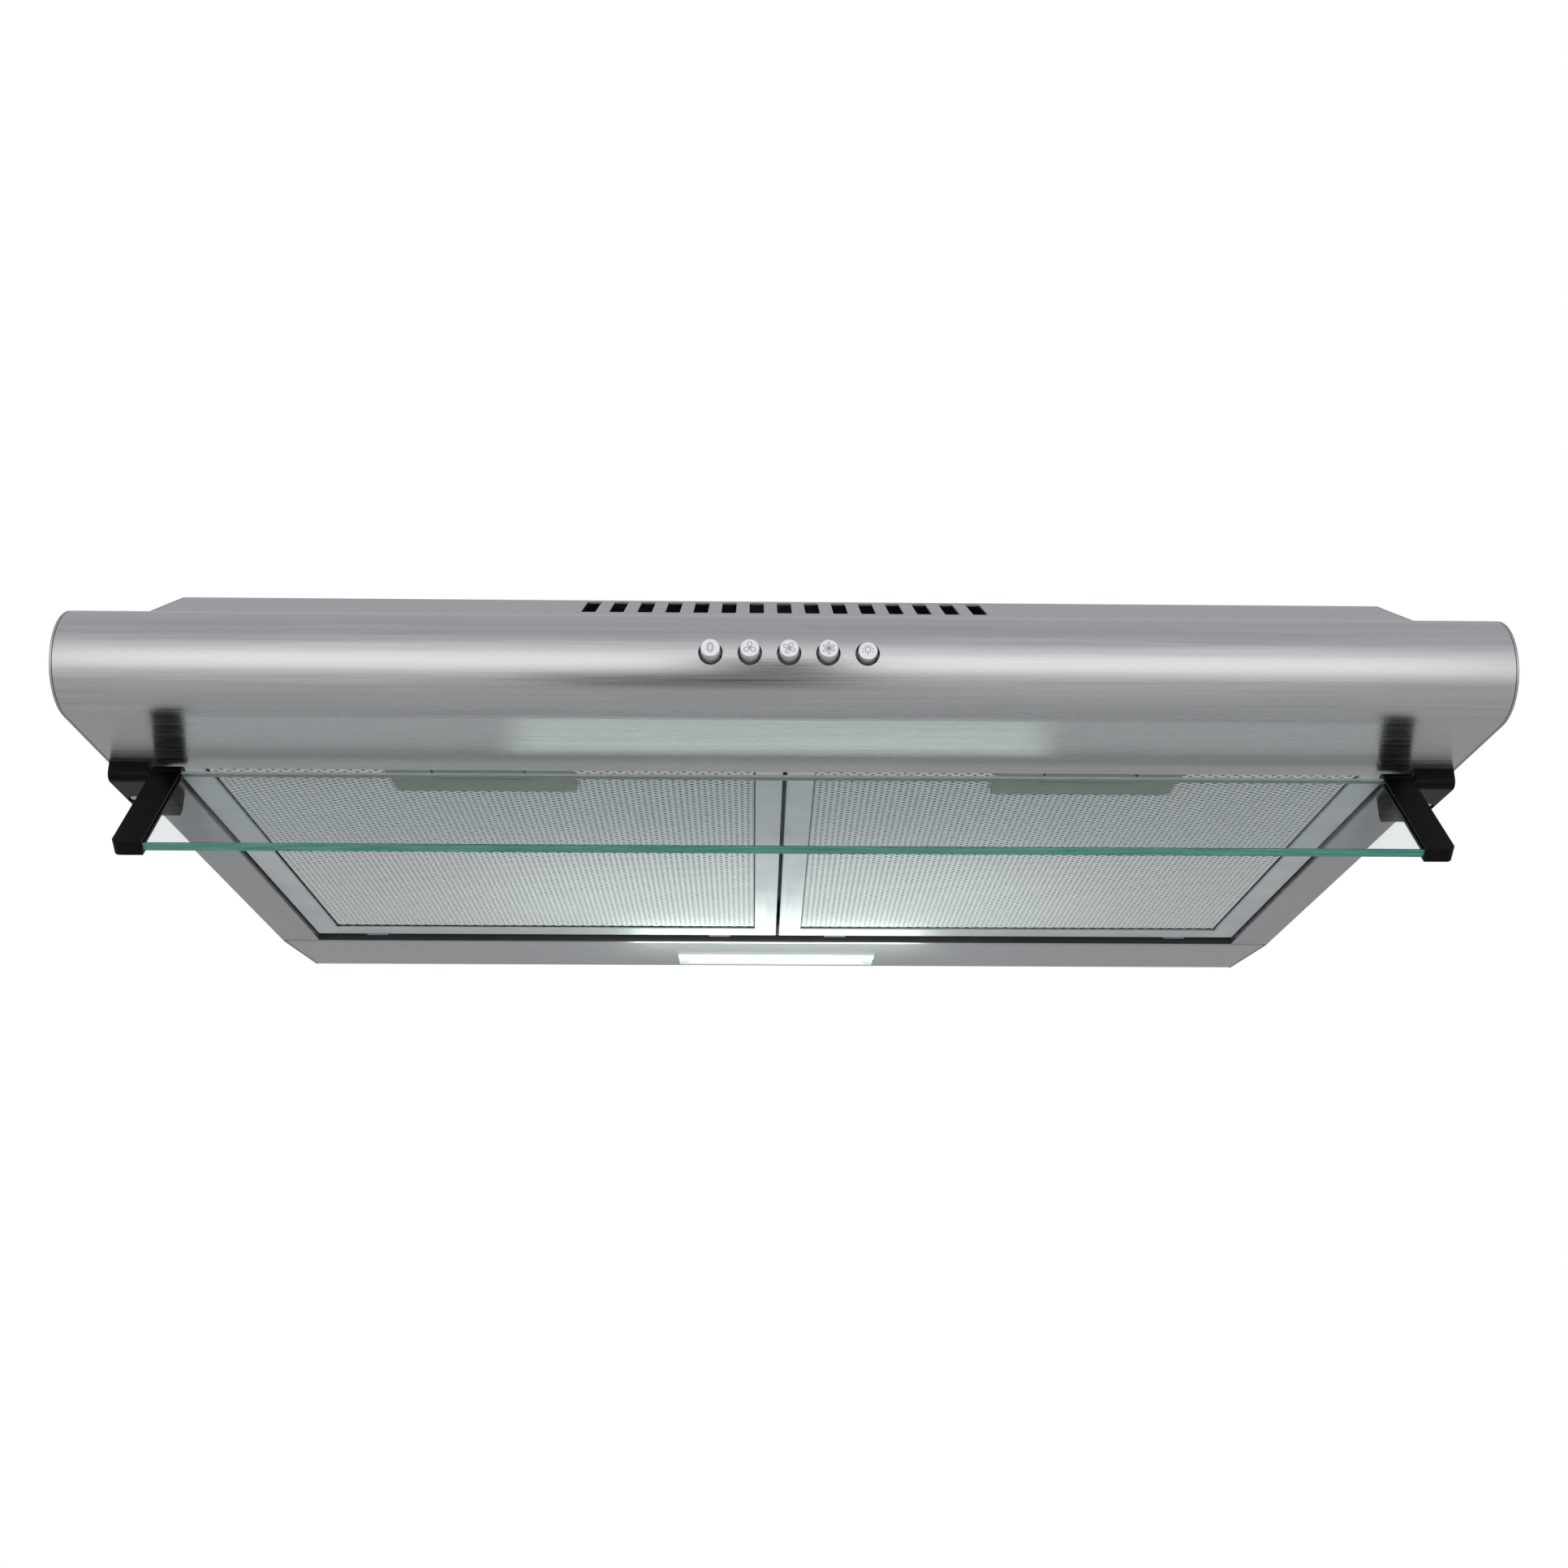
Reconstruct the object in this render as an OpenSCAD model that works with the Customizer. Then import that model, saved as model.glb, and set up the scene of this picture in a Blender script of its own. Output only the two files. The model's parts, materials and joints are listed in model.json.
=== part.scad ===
// Under-cabinet visor range hood, 60 cm class, drawn in millimetres.
// Drawing frame: X to the right seen from the front, Y from front to back, Z up, with Y = 0 at
// the front of the nose and Z = 0 at the underside. hung() moves it to the part's own frame,
// whose origin is the middle of the four cabinet screws on the top face.

/* [Casing] */
// Overall width of the hood
hood_w = 598; // [560:1:720]
// Overall depth, front of the nose to the back
hood_d = 455; // [445:1:560]
// Height from the underside to the top face
hood_h = 112; // [108:1:150]
// Thickness of the folded steel sheet
sheet_t = 1; // [0.7:0.1:1.2]
// Radius of the rounded nose at the front
nose_r = 22.9; // [20:0.1:26]
// Flat strip on top of the nose, before the slope starts
nose_flat = 17; // [12:0.5:24]
// Angle of the sloping vent strip
slope_deg = 34.4; // [30:0.1:45]
// Rear edge of the front panel's flat underside
front_flat_y = 83; // [78:0.5:90]
// Width of the flat rim under each side
rim_w = 22; // [18:0.5:28]
// Gap where sheets meet side by side
seam_gap = 0.3; // [0.1:0.1:0.6]

/* [Vents] */
// Number of vent slots in the slope
vent_n = 15; // [7:2:21]
// Distance from slot to slot
vent_pitch = 13.4; // [10:0.1:18]
// Width of a slot
vent_w = 7; // [4:0.1:8]
// Length of a slot, up the slope
vent_len = 35.5; // [20:0.5:38]
// Distance from the top end of a slot to the upper bend
vent_top_gap = 5; // [3:0.5:12]

/* [Cabinet mounting] */
// Side-to-side spacing of the cabinet screw holes
screw_dx = 540; // [500:1:545]
// Front-to-back spacing of the cabinet screw holes
screw_dy = 220; // [180:1:225]
// Distance from the front to the middle of the four screw holes
screw_mid_y = 290; // [270:1:300]
// Radius of a cabinet screw hole
screw_hole_r = 3; // [2.5:0.1:4]

/* [Duct] */
// Outer radius of the duct collar
duct_r = 60; // [50:0.5:62]
// Height of the collar above the top face
duct_h = 25; // [20:1:45]
// Wall of the collar
duct_wall = 2; // [1.5:0.1:3]
// Distance from the front to the middle of the duct
duct_y = 346; // [340:1:360]
// Thickness of a damper flap
flap_t = 1.5; // [1:0.1:2]
// Radius of the damper hinge pin
flap_pin_r = 1.5; // [1:0.1:2]

/* [Lamp] */
// Width of the lamp strip, front to back
lamp_strip_d = 83; // [76:1:95]
// Rise of the lamp strip towards the back
lamp_rise_deg = 4.7; // [0:0.1:6]
// Length of the lamp lens, side to side
lens_w = 123.6; // [100:0.2:150]
// Width of the lamp lens, front to back
lens_d = 31; // [26:0.5:34]

/* [Filters] */
// Thickness of a grease filter
filter_t = 9; // [7:0.5:10]
// Height of a filter's underside above the rim's underside
filter_z = 2.5; // [2:0.1:4]
// Gap between the two filters
filter_mid_gap = 2; // [1:0.5:4]
// Gap beside, in front of and behind a filter
filter_gap = 1.5; // [1:0.1:3]
// Width of the outer side frame
side_frame_w = 14; // [10:0.5:18]
// Width of the rear frame
rear_frame_w = 14; // [10:0.5:18]
// Width of the front frame
front_frame_w = 5; // [4:0.5:6]
// Width of the handle plate
plate_w = 84; // [76:1:110]
// Width of the pull tab
tab_w = 41; // [30:1:46]
// Travel of the latch
latch_travel = 5.5; // [4:0.5:6]

/* [Buttons] */
// Distance from button to button
button_pitch = 16; // [13:0.5:20]
// Height of the buttons above the underside
button_z = 20.5; // [19:0.5:24]
// Radius of a button
button_r = 3.95; // [3.5:0.05:4.5]
// How far a button stands out of the nose
button_out = 5; // [3:0.5:7]
// Gap around a button in the nose
button_gap = 1.05; // [0.6:0.05:1.2]
// How far the light button is pressed in
light_in = 2; // [0:0.5:3]

/* [Visor] */
// Thickness of the glass
glass_t = 4; // [3:0.5:5]
// Reach of the glass from the hinge line
glass_reach = 57; // [45:1:70]
// Width of an arm
arm_w = 12.5; // [12:0.5:18]
// Thickness of an arm
arm_t = 6.5; // [6:0.1:8]
// Distance of an arm's outer face from the hood's side
arm_inset = 20; // [16:0.5:24]
// Angle by which the visor hangs below level
visor_deg = 51.9; // [20:0.1:80]
// Radius of the hinge pin
visor_pin_r = 1.5; // [1:0.1:2]

/* [Blower] */
// Radius of the impeller
impeller_r = 80; // [70:1:82]
// Height of the blades
blade_h = 46; // [40:1:50]
// Number of blades
blade_n = 36; // [24:2:48]
// Radius of the motor
motor_r = 40; // [34:1:41]
// Radius of the motor shaft
shaft_r = 4; // [3:0.5:5]
// Wall of the blower housing
housing_wall = 2; // [1.5:0.1:2.5]
// Side-to-side place of the blower's axis
blower_x = -150; // [-156:1:-148]
// Front-to-back place of the blower's axis
blower_y = 235; // [233:1:245]

/* [Hidden] */
$fn = 64;

// Casing
half_w = hood_w / 2;
in_w = half_w - sheet_t;            // inner face of a side panel
fold_w = in_w - seam_gap;           // end of the panels that run across
nose_top = 2 * nose_r;
slope_y = nose_r + nose_flat;       // foot of the slope
bend_y = slope_y + (hood_h - nose_top) / tan(slope_deg);
slope_len = (hood_h - nose_top) / sin(slope_deg);
front_lip_h = 14;                   // turned-up rear edge of the front panel
lamp_y = hood_d - lamp_strip_d;     // front of the lamp strip
bend_r = 4;                         // start of the strip's rise, from its front
lamp_end_z = (hood_d - sheet_t - lamp_y - bend_r) * tan(lamp_rise_deg);
under_top = hood_h - sheet_t;       // underside of the top sheet
side_flange_w = 14;
cut = 1;                            // how far a cutting shape runs past what it cuts
cable_x = 221;                      // cable inlet, side to side
cable_back = 37;                    // cable inlet, from the back
cable_y = hood_d - cable_back;
cable_hole_r = 9;
back_screw_r = 1.9;

// Duct collar and damper
duct_gap = 0.3;
duct_neck = 1;                      // the neck in the sheet is this much smaller
flange_t = 2;
flange_r = duct_r + 10;
flange_z = under_top - flange_t;    // underside of the collar's flange
duct_in = duct_r - duct_wall;
flap_z = hood_h + 6;
flap_gap = 1;
flap_step = flap_t / 2 + 0.25;      // from the hinge line down to the ledge
knuckle_r = flap_pin_r + 1.5;
knuckle_gap = 0.6;
knuckle_n = 4;
knuckle_span = 2 * duct_in - 8;
run_gap = 0.06;                     // radial clearance of a running fit
seat_gap = 0.02;                    // radial clearance of a fixed fit

// Lamp
lens_mid = 55.5;                    // middle of the lens, up the strip from its front
lens_t = 1.4;
lens_lip = 3;
lamp_box_h = 14;

// Filters
filter_x0 = filter_mid_gap / 2;
filter_x1 = half_w - rim_w - filter_gap;
filter_mid = (filter_x0 + filter_x1) / 2;
inner_frame_w = side_frame_w - 1.5;
filter_y0 = front_flat_y + filter_gap - 0.2;
rail_t = 1;
hinge_r = 1.6;
hinge_gap = 0.3;
cup_wall = 1;
hinge_y = lamp_y - 3.2;
hinge_z = filter_z + 3;
filter_y1 = hinge_y - hinge_r - hinge_gap - cup_wall - 0.1;
frame_t = 1;
tongue_w = 12;
tongue_in = 34;                     // middle of a hinge tongue from the filter's side
plate_d = 34;
plate_t = 1;
plate_y0 = front_flat_y + 2.5;
tab_gap = 1;
tab_d = 10.2;
tab_y0 = plate_y0 + 1.3;
well_wall = 1.2;
well_w = plate_w - 30;
well_y1 = plate_y0 + 28.5;
well_z1 = filter_z + filter_t - 2;
mesh_skin = 0.6;                    // solid metal in each of the mesh's two skins
bolt_w = 12;
bolt_h = 3;
well_in_h = filter_t - 2 - well_wall;  // height of the space inside the latch well
bolt_z = filter_z + (well_in_h - bolt_h) / 2;
bolt_gap = 0.5;
bolt_tip = front_flat_y - 6;

// Buttons
plate_front = 5.2;                  // front of the guide plate behind the nose
guide_t = 2.8;
collar_y = 10;
collar_t = 2;
collar_r = button_r + 1.55;
block_y = 17;
block_d = 21;
block_half = 2.5 * button_pitch + 2;
stem_r = 2.5;
stem_end = 26;
block_h = 19;

// Visor
pivot_y = front_flat_y - 5;
pivot_z = -5;
arm_x1 = half_w - arm_inset;
arm_x0 = arm_x1 - arm_w;
glass_in = 8;                       // depth of the glass in an arm
glass_start = -0.6;                 // top of the glass, down from the hinge line
arm_tip = 1.4;                        // how far an arm reaches past the glass
knuckle_visor_r = 4;
arm_side_gap = 1.5;
bracket_h = 8.3;
bracket_y0 = pivot_y - 4;
bracket_y1 = pivot_y + 50;
bracket_side_gap = 0.8;             // from a bracket to the hood's side
pad_in = 1.2;                       // how far the pad reaches past the barrel's inner end
bracket_step = 15;                  // from the hinge line back to the full-width pad
bracket_screw_y = pivot_y + 23;
bracket_screw_in = 6;

// Blower
floor_z = 30;
cover_z = floor_z + blade_h + 16;
scroll_r0 = impeller_r + 8;
scroll_r1 = impeller_r + 38;
scroll_turn = 315;
tongue_deg = 45;
outlet_y0 = scroll_r1 - 70;
box_half = duct_r + 5;
scroll_end_x = -box_half - blower_x;
box_y0 = duct_y - box_half;
box_y1 = duct_y + box_half;
inlet_r = impeller_r - 16;
ring_t = 2;
blade_z = floor_z + 8;
blade_top = blade_z + blade_h;
cup_gap = 4;
cup_r = motor_r + cup_gap;
cup_z = blade_z + 6;
motor_z = cup_z + 6;
motor_flange_r = motor_r + 10;
motor_screw_at = motor_r + 6;
shaft_z = floor_z + 3;
shaft_top = motor_z + 33;

function arc(cy, cz, r, a0, a1, n) =
  [for (i = [0:n]) let (a = a0 + (a1 - a0) * i / n) [cy + r * cos(a), cz + r * sin(a)]];

function scroll(w) = concat(
  [for (i = [0:45]) let (
      start = 3.5 * w,
      turn = start + (scroll_turn - start) * i / 45,
      r = scroll_r0 + (scroll_r1 - scroll_r0) * turn / scroll_turn + w)
    [r * cos(tongue_deg - turn), r * sin(tongue_deg - turn)]],
  [[scroll_end_x, scroll_r1 + w], [scroll_end_x, outlet_y0 - w]]);

module hung() { translate([0, -screw_mid_y, -hood_h]) children(); }
module along_x(x0, x1) {
  translate([x0, 0, 0]) rotate([90, 0, 90]) linear_extrude(x1 - x0) children();
}
module box(a, b) { translate(a) cube(b - a); }
module rod_x(x0, x1, r) { translate([x0, 0, 0]) rotate([0, 90, 0]) cylinder(h = x1 - x0, r = r); }
module both_sides() { children(); mirror([1, 0, 0]) children(); }
module rounded(w, d, r) {
  square([w - 2 * r, d], center = true);
  square([w, d - 2 * r], center = true);
  for (x = [-1, 1], y = [-1, 1]) translate([x * (w / 2 - r), y * (d / 2 - r)]) circle(r);
}
module nose_ring(t) {
  translate([nose_r, nose_r]) difference() {
    circle(nose_r, $fn = 128);
    circle(nose_r - t, $fn = 128);
    translate([0, -nose_r - cut]) square([nose_r + cut, 2 * (nose_r + cut)]);
  }
}
module at_slope() { translate([0, slope_y, nose_top]) rotate([slope_deg, 0, 0]) children(); }
module at_lamp() {
  translate([0, lamp_y + bend_r, 0]) rotate([lamp_rise_deg, 0, 0]) children();
}
module at_blower() { translate([blower_x, blower_y, 0]) children(); }
module at_duct(z) { translate([0, duct_y, z]) children(); }
module at_motor_screws() {
  for (a = [30, 150, 270]) rotate(a) translate([motor_screw_at, 0, 0]) children();
}
module at_back_screws() {
  for (x = [-1, -1/3, 1/3, 1]) translate([x * (fold_w - 30), hood_d, hood_h - 24]) children();
}
module at_visor() { translate([0, pivot_y, pivot_z]) rotate([180 + visor_deg, 0, 0]) children(); }

// Casing

module top_panel() {
  in_bend = slope_y + sheet_t * sin(slope_deg)
    + (under_top - nose_top + sheet_t * cos(slope_deg)) / tan(slope_deg);
  in_foot = slope_y + sheet_t * sin(slope_deg) - sheet_t * (2 - cos(slope_deg)) / tan(slope_deg);
  lap = 10;
  color("gainsboro") hung() difference() {
    along_x(-fold_w, fold_w) polygon([
      [slope_y, nose_top], [bend_y, hood_h], [hood_d, hood_h], [hood_d, under_top],
      [in_bend, under_top], [in_foot, nose_top - 2 * sheet_t],
      [slope_y - lap, nose_top - 2 * sheet_t], [slope_y - lap, nose_top - sheet_t],
      [slope_y, nose_top - sheet_t]]);
    at_slope() for (i = [0:vent_n - 1])
      translate([(i - (vent_n - 1) / 2) * vent_pitch, slope_len - vent_top_gap - vent_len / 2,
          -3 * sheet_t])
        linear_extrude(6 * sheet_t) rounded(vent_w, vent_len, 1, $fn = 24);
    at_duct(under_top - cut) cylinder(h = sheet_t + 2 * cut, r = duct_r + duct_gap, $fn = 128);
    for (x = [-1, 1], y = [-1, 1])
      translate([x * screw_dx / 2, screw_mid_y + y * screw_dy / 2, under_top - cut])
        cylinder(h = sheet_t + 2 * cut, r = screw_hole_r);
    translate([cable_x, cable_y, under_top - cut])
      cylinder(h = sheet_t + 2 * cut, r = cable_hole_r);
  }
}

module back_panel() {
  foot = lamp_end_z + sheet_t;
  color("gainsboro") hung() difference() {
    box([-fold_w, hood_d - sheet_t, foot], [fold_w, hood_d, under_top]);
    at_back_screws() rotate([90, 0, 0]) translate([0, 0, -cut])
      cylinder(h = sheet_t + 2 * cut, r = back_screw_r + 0.1);
  }
}

module side_outline() {
  translate([nose_r, nose_r]) circle(nose_r, $fn = 128);
  polygon([[nose_r, 0], [lamp_y + bend_r, 0], [hood_d, lamp_end_z], [hood_d, hood_h],
    [bend_y, hood_h], [slope_y, nose_top], [nose_r, nose_top]]);
}
module side_panel() {
  rim_y0 = front_flat_y + sheet_t;
  return_h = 8;
  difference() {
    union() {
      along_x(in_w, half_w) side_outline();
      box([half_w - rim_w, rim_y0, 0], [in_w, lamp_y - 0.5, sheet_t]);
      box([half_w - rim_w, rim_y0, sheet_t],
        [half_w - rim_w + sheet_t, lamp_y - 0.5, return_h + sheet_t]);
      box([in_w - side_flange_w, bend_y + 5, under_top - sheet_t],
        [in_w, hood_d - 2 * sheet_t, under_top]);
    }
    translate([half_w - bracket_screw_in, bracket_screw_y, -cut])
      cylinder(h = sheet_t + 2 * cut, r = 1.6);
  }
}
module side_panel_right() { color("silver") hung() side_panel(); }
module side_panel_left() { color("silver") hung() mirror([1, 0, 0]) side_panel(); }

module front_panel() {
  color("lightgray") hung() difference() {
    along_x(-fold_w, fold_w) {
      nose_ring(sheet_t);
      translate([nose_r, nose_top - sheet_t]) square([nose_flat, sheet_t]);
      translate([nose_r, 0]) square([front_flat_y - nose_r, sheet_t]);
      translate([front_flat_y - sheet_t, 0]) square([sheet_t, front_lip_h]);
    }
    for (i = [-2:2]) translate([i * button_pitch, -cut, button_z]) rotate([-90, 0, 0])
      cylinder(h = nose_r, r = button_r + button_gap);
    for (s = [-1, 1])
      box([s * filter_mid - bolt_w / 2 - 2, front_flat_y - sheet_t - cut, bolt_z - bolt_gap],
        [s * filter_mid + bolt_w / 2 + 2, front_flat_y + cut, bolt_z + bolt_h + bolt_gap]);
  }
}

module lamp_panel() {
  run = hood_d - sheet_t - lamp_y - bend_r;
  rise = run * tan(lamp_rise_deg);
  t = sheet_t;
  color("lightgray") hung() difference() {
    along_x(-fold_w, fold_w) polygon(concat(
      [[lamp_y, front_lip_h]],
      arc(lamp_y + bend_r, bend_r, bend_r, 180, 270, 6),
      [[lamp_y + bend_r + run, rise], [lamp_y + bend_r + run, rise + t]],
      arc(lamp_y + bend_r, bend_r, bend_r - t, 270, 180, 6),
      [[lamp_y + t, front_lip_h]]));
    at_lamp() box([-lens_w / 2 + lens_lip, lens_mid - lens_d / 2 + 2.5 - bend_r, -cut],
      [lens_w / 2 - lens_lip, lens_mid + lens_d / 2 - 2.5 - bend_r, sheet_t + cut]);
  }
}

module tongue_places() {
  for (x = [filter_x0 + tongue_in, filter_x1 - tongue_in]) translate([x, 0, 0]) children();
}
module filter_rail() {
  over = 0.4;
  color("darkgray") hung() {
    box([-filter_x1, lamp_y - rail_t, hinge_z - 1], [filter_x1, lamp_y, front_lip_h]);
    both_sides() tongue_places() translate([0, hinge_y, hinge_z]) difference() {
      rod_x(-tongue_w / 2 - over, tongue_w / 2 + over, hinge_r + hinge_gap + cup_wall);
      rod_x(-tongue_w, tongue_w, hinge_r + hinge_gap);
      box([-tongue_w, -5, -5], [tongue_w, 0.5, 5]);
      box([-tongue_w, lamp_y - rail_t - hinge_y + 0.6, -5], [tongue_w, 6, 5]);
    }
  }
}

module back_screws() {
  color("dimgray") hung() at_back_screws() {
    rotate([90, 0, 0]) cylinder(h = 8, r = back_screw_r);
    rotate([-90, 0, 0]) cylinder(h = 1.6, r = 3.5);
  }
}

// Lamp

module lamp_lens() {
  notch = 3;
  color("white") hung() at_lamp() difference() {
    union() {
      box([-lens_w / 2, lens_mid - lens_d / 2 - bend_r, -lens_t],
        [lens_w / 2, lens_mid + lens_d / 2 - bend_r, 0]);
      box([-lens_w / 2 + lens_lip + 0.2, lens_mid - lens_d / 2 + 2.7 - bend_r, 0],
        [lens_w / 2 - lens_lip - 0.2, lens_mid + lens_d / 2 - 2.7 - bend_r, 4]);
    }
    box([-lens_w / 2 + lens_lip + 1.8, lens_mid - lens_d / 2 + 4.3 - bend_r, 0],
      [lens_w / 2 - lens_lip - 1.8, lens_mid + lens_d / 2 - 4.3 - bend_r, 5]);
    for (s = [-1, 1]) translate([s * lens_w / 2, lens_mid - bend_r, -lens_t / 2])
      cube([notch, 2 * notch, lens_t + 0.2], center = true);
  }
}
module lamp_housing() {
  wall = 1.5;
  y0 = lens_mid - lens_d / 2 - 2 - bend_r;
  y1 = lens_mid + lens_d / 2 + 2 - bend_r;
  color("whitesmoke") hung() at_lamp() difference() {
    box([-lens_w / 2 - 3, y0, sheet_t], [lens_w / 2 + 3, y1, lamp_box_h]);
    box([-lens_w / 2 - 3 + wall, y0 + wall, 0], [lens_w / 2 + 3 - wall, y1 - wall, lamp_box_h - wall]);
  }
}
module led_board() {
  board_t = 1.5;
  z1 = lamp_box_h - 1.5;
  color("seagreen") hung() at_lamp() {
    box([-lens_w / 2 + 7, lens_mid - 10 - bend_r, z1 - board_t],
      [lens_w / 2 - 7, lens_mid + 10 - bend_r, z1]);
    for (i = [-4:4], s = [-1, 1]) translate([i * 12, lens_mid + 4.5 * s - bend_r, z1 - board_t - 0.4])
      cube([3, 3, 0.8 + 0.02], center = true);
  }
}
module led_driver() {
  color("whitesmoke") hung() box([110, cable_y - 18, hood_h - 25], [172, cable_y + 12, under_top]);
}

// Blower

module blower_housing() {
  color("dimgray") hung() at_blower() {
    translate([0, 0, floor_z]) difference() {
      linear_extrude(housing_wall) polygon(scroll(housing_wall));
      translate([0, 0, -cut]) cylinder(h = housing_wall + 2 * cut, r = inlet_r, $fn = 96);
    }
    translate([0, 0, floor_z + housing_wall]) linear_extrude(cover_z - floor_z - housing_wall)
      difference() {
        polygon(scroll(housing_wall));
        polygon(scroll(0));
      }
  }
}
module blower_cover() {
  color("dimgray") hung() at_blower() translate([0, 0, cover_z]) difference() {
    linear_extrude(housing_wall) polygon(scroll(housing_wall));
    translate([0, 0, -cut]) cylinder(h = housing_wall + 2 * cut, r = motor_r + 1.5, $fn = 96);
    translate([0, 0, -cut]) at_motor_screws() cylinder(h = housing_wall + 2 * cut, r = 1.6);
  }
}
module outlet_box() {
  w = housing_wall;
  color("darkslategray") hung() difference() {
    box([-box_half, box_y0, floor_z], [box_half, box_y1, flange_z]);
    box([-box_half + w, box_y0 + w, floor_z + w], [box_half - w, box_y1 - w, flange_z + cut]);
    box([-box_half - cut, blower_y + outlet_y0, floor_z + w],
      [-box_half + w + cut, blower_y + scroll_r1, cover_z]);
  }
}
module flat_ring(r_out, r_in, h) {
  difference() {
    cylinder(h = h, r = r_out, $fn = 96);
    translate([0, 0, -cut]) cylinder(h = h + 2 * cut, r = r_in, $fn = 96);
  }
}
module inlet_guard() {
  bar = 2;
  first = 14;
  color("gray") hung() at_blower() translate([0, 0, floor_z - bar]) linear_extrude(bar) {
    for (r = [first, 30, 46, inlet_r + 3]) difference() {
      circle(r + (r > inlet_r ? 3 : bar / 2), $fn = 96);
      circle(r - (r > inlet_r ? 3 : bar / 2), $fn = 96);
    }
    for (a = [0:60:300]) rotate(a) translate([first, -bar / 2]) square([inlet_r - first + 1, bar]);
  }
}
module blower_hangers() {
  t = 1.5;
  w = 20;
  d = 14;
  z0 = cover_z + housing_wall;
  color("silver") hung() at_blower() for (a = [75, 195, 315]) rotate(a)
    translate([motor_flange_r + 8, -w / 2, 0]) difference() {
      box([0, 0, z0], [d, w, under_top]);
      box([-cut, -cut, z0 + t], [d - t, w + cut, under_top - t]);
    }
}
module motor_body() {
  z1 = cover_z + housing_wall;
  color("darkgray") hung() at_blower() difference() {
    union() {
      translate([0, 0, motor_z]) cylinder(h = z1 - motor_z, r = motor_r, $fn = 96);
      translate([0, 0, z1]) cylinder(h = 2, r = motor_flange_r, $fn = 96);
      translate([0, 0, z1 + 2]) cylinder(h = 9, r = motor_r - 4, $fn = 96);
    }
    translate([0, 0, motor_z - cut]) cylinder(h = shaft_top - motor_z + cut + 0.5, r = shaft_r + run_gap);
    translate([0, 0, z1 - cut]) at_motor_screws() cylinder(h = 2 + 2 * cut, r = 1.6);
  }
}
module motor_screws() {
  z1 = cover_z + housing_wall + 2;
  color("silver") hung() at_blower() at_motor_screws() {
    translate([0, 0, z1 - 7]) cylinder(h = 7, r = 1.5);
    translate([0, 0, z1]) cylinder(h = 2.2, r = 3.2);
  }
}
module motor_shaft() {
  color("silver") hung() at_blower() translate([0, 0, shaft_z])
    cylinder(h = shaft_top - shaft_z, r = shaft_r);
}
module impeller() {
  hub_r = 9;
  hub_z = cup_z - 4;
  inner = impeller_r - 18;
  lean = 9;
  color("slategray") hung() at_blower() difference() {
    union() {
      translate([0, 0, hub_z]) cylinder(h = 8, r = hub_r);
      translate([0, 0, cup_z]) cylinder(h = 2, r = cup_r + 2, $fn = 96);
      translate([0, 0, cup_z]) flat_ring(cup_r + 2, cup_r, blade_top - cup_z + ring_t);
      translate([0, 0, blade_top]) flat_ring(impeller_r, cup_r + 1, ring_t);
      translate([0, 0, blade_z - ring_t]) flat_ring(impeller_r, impeller_r - 6, ring_t);
      for (i = [0:blade_n - 1]) rotate(i * 360 / blade_n) translate([0, 0, blade_z - 1])
        linear_extrude(blade_h + 2) polygon([
          [inner, 0], [inner + 9, -lean / 3 - 1.2], [impeller_r - 0.6, -lean],
          [impeller_r - 0.6, -lean + 1.2], [inner + 9, -lean / 3 + 0.2], [inner, 1.2]]);
    }
    translate([0, 0, hub_z - cut]) cylinder(h = 12, r = shaft_r + seat_gap);
  }
}
module impeller_nut() {
  h = 5;
  color("gold") hung() at_blower() translate([0, 0, cup_z - 4 - h]) difference() {
    cylinder(h = h, r = 7.5, $fn = 6);
    translate([0, 0, -cut]) cylinder(h = h + 2 * cut, r = shaft_r + seat_gap);
  }
}
module capacitor() {
  r = 15;
  z = under_top - 2 - r;
  x = blower_x - 60;
  y = cable_y - 18;
  color("gainsboro") hung() {
    translate([x, y, z]) rotate([0, 90, 0]) cylinder(h = 48, r = r);
    translate([x + 48, y, z]) rotate([0, 90, 0]) cylinder(h = 4, r = r - 3);
    box([x + 14, y - 8, z + r - 3], [x + 34, y + 8, under_top]);
  }
}

// Duct collar and damper

module duct_collar() {
  pin_in = 1;
  color("dimgray") hung() difference() {
    union() {
      at_duct(flange_z) cylinder(h = flange_t, r = flange_r, $fn = 128);
      at_duct(flange_z) cylinder(h = hood_h - flange_z, r = duct_r - duct_neck, $fn = 128);
      at_duct(hood_h) cylinder(h = duct_h, r = duct_r, $fn = 128);
    }
    at_duct(flange_z - cut) cylinder(h = hood_h + cut * 2 + duct_h, r = duct_in - 2, $fn = 128);
    at_duct(flap_z - flap_step) cylinder(h = duct_h + 10, r = duct_in, $fn = 128);
    at_duct(flange_z - cut) cylinder(h = flap_z - flap_step - 3 - flange_z + cut, r = duct_in, $fn = 128);
    translate([0, duct_y - duct_in - pin_in, flap_z]) rotate([-90, 0, 0])
      cylinder(h = 2 * (duct_in + pin_in), r = flap_pin_r + seat_gap, $fn = 32);
  }
}
module damper_pin() {
  l = duct_in + 0.9;
  color("silver") hung() translate([0, duct_y - l, flap_z]) rotate([-90, 0, 0])
    cylinder(h = 2 * l, r = flap_pin_r, $fn = 32);
}
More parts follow.
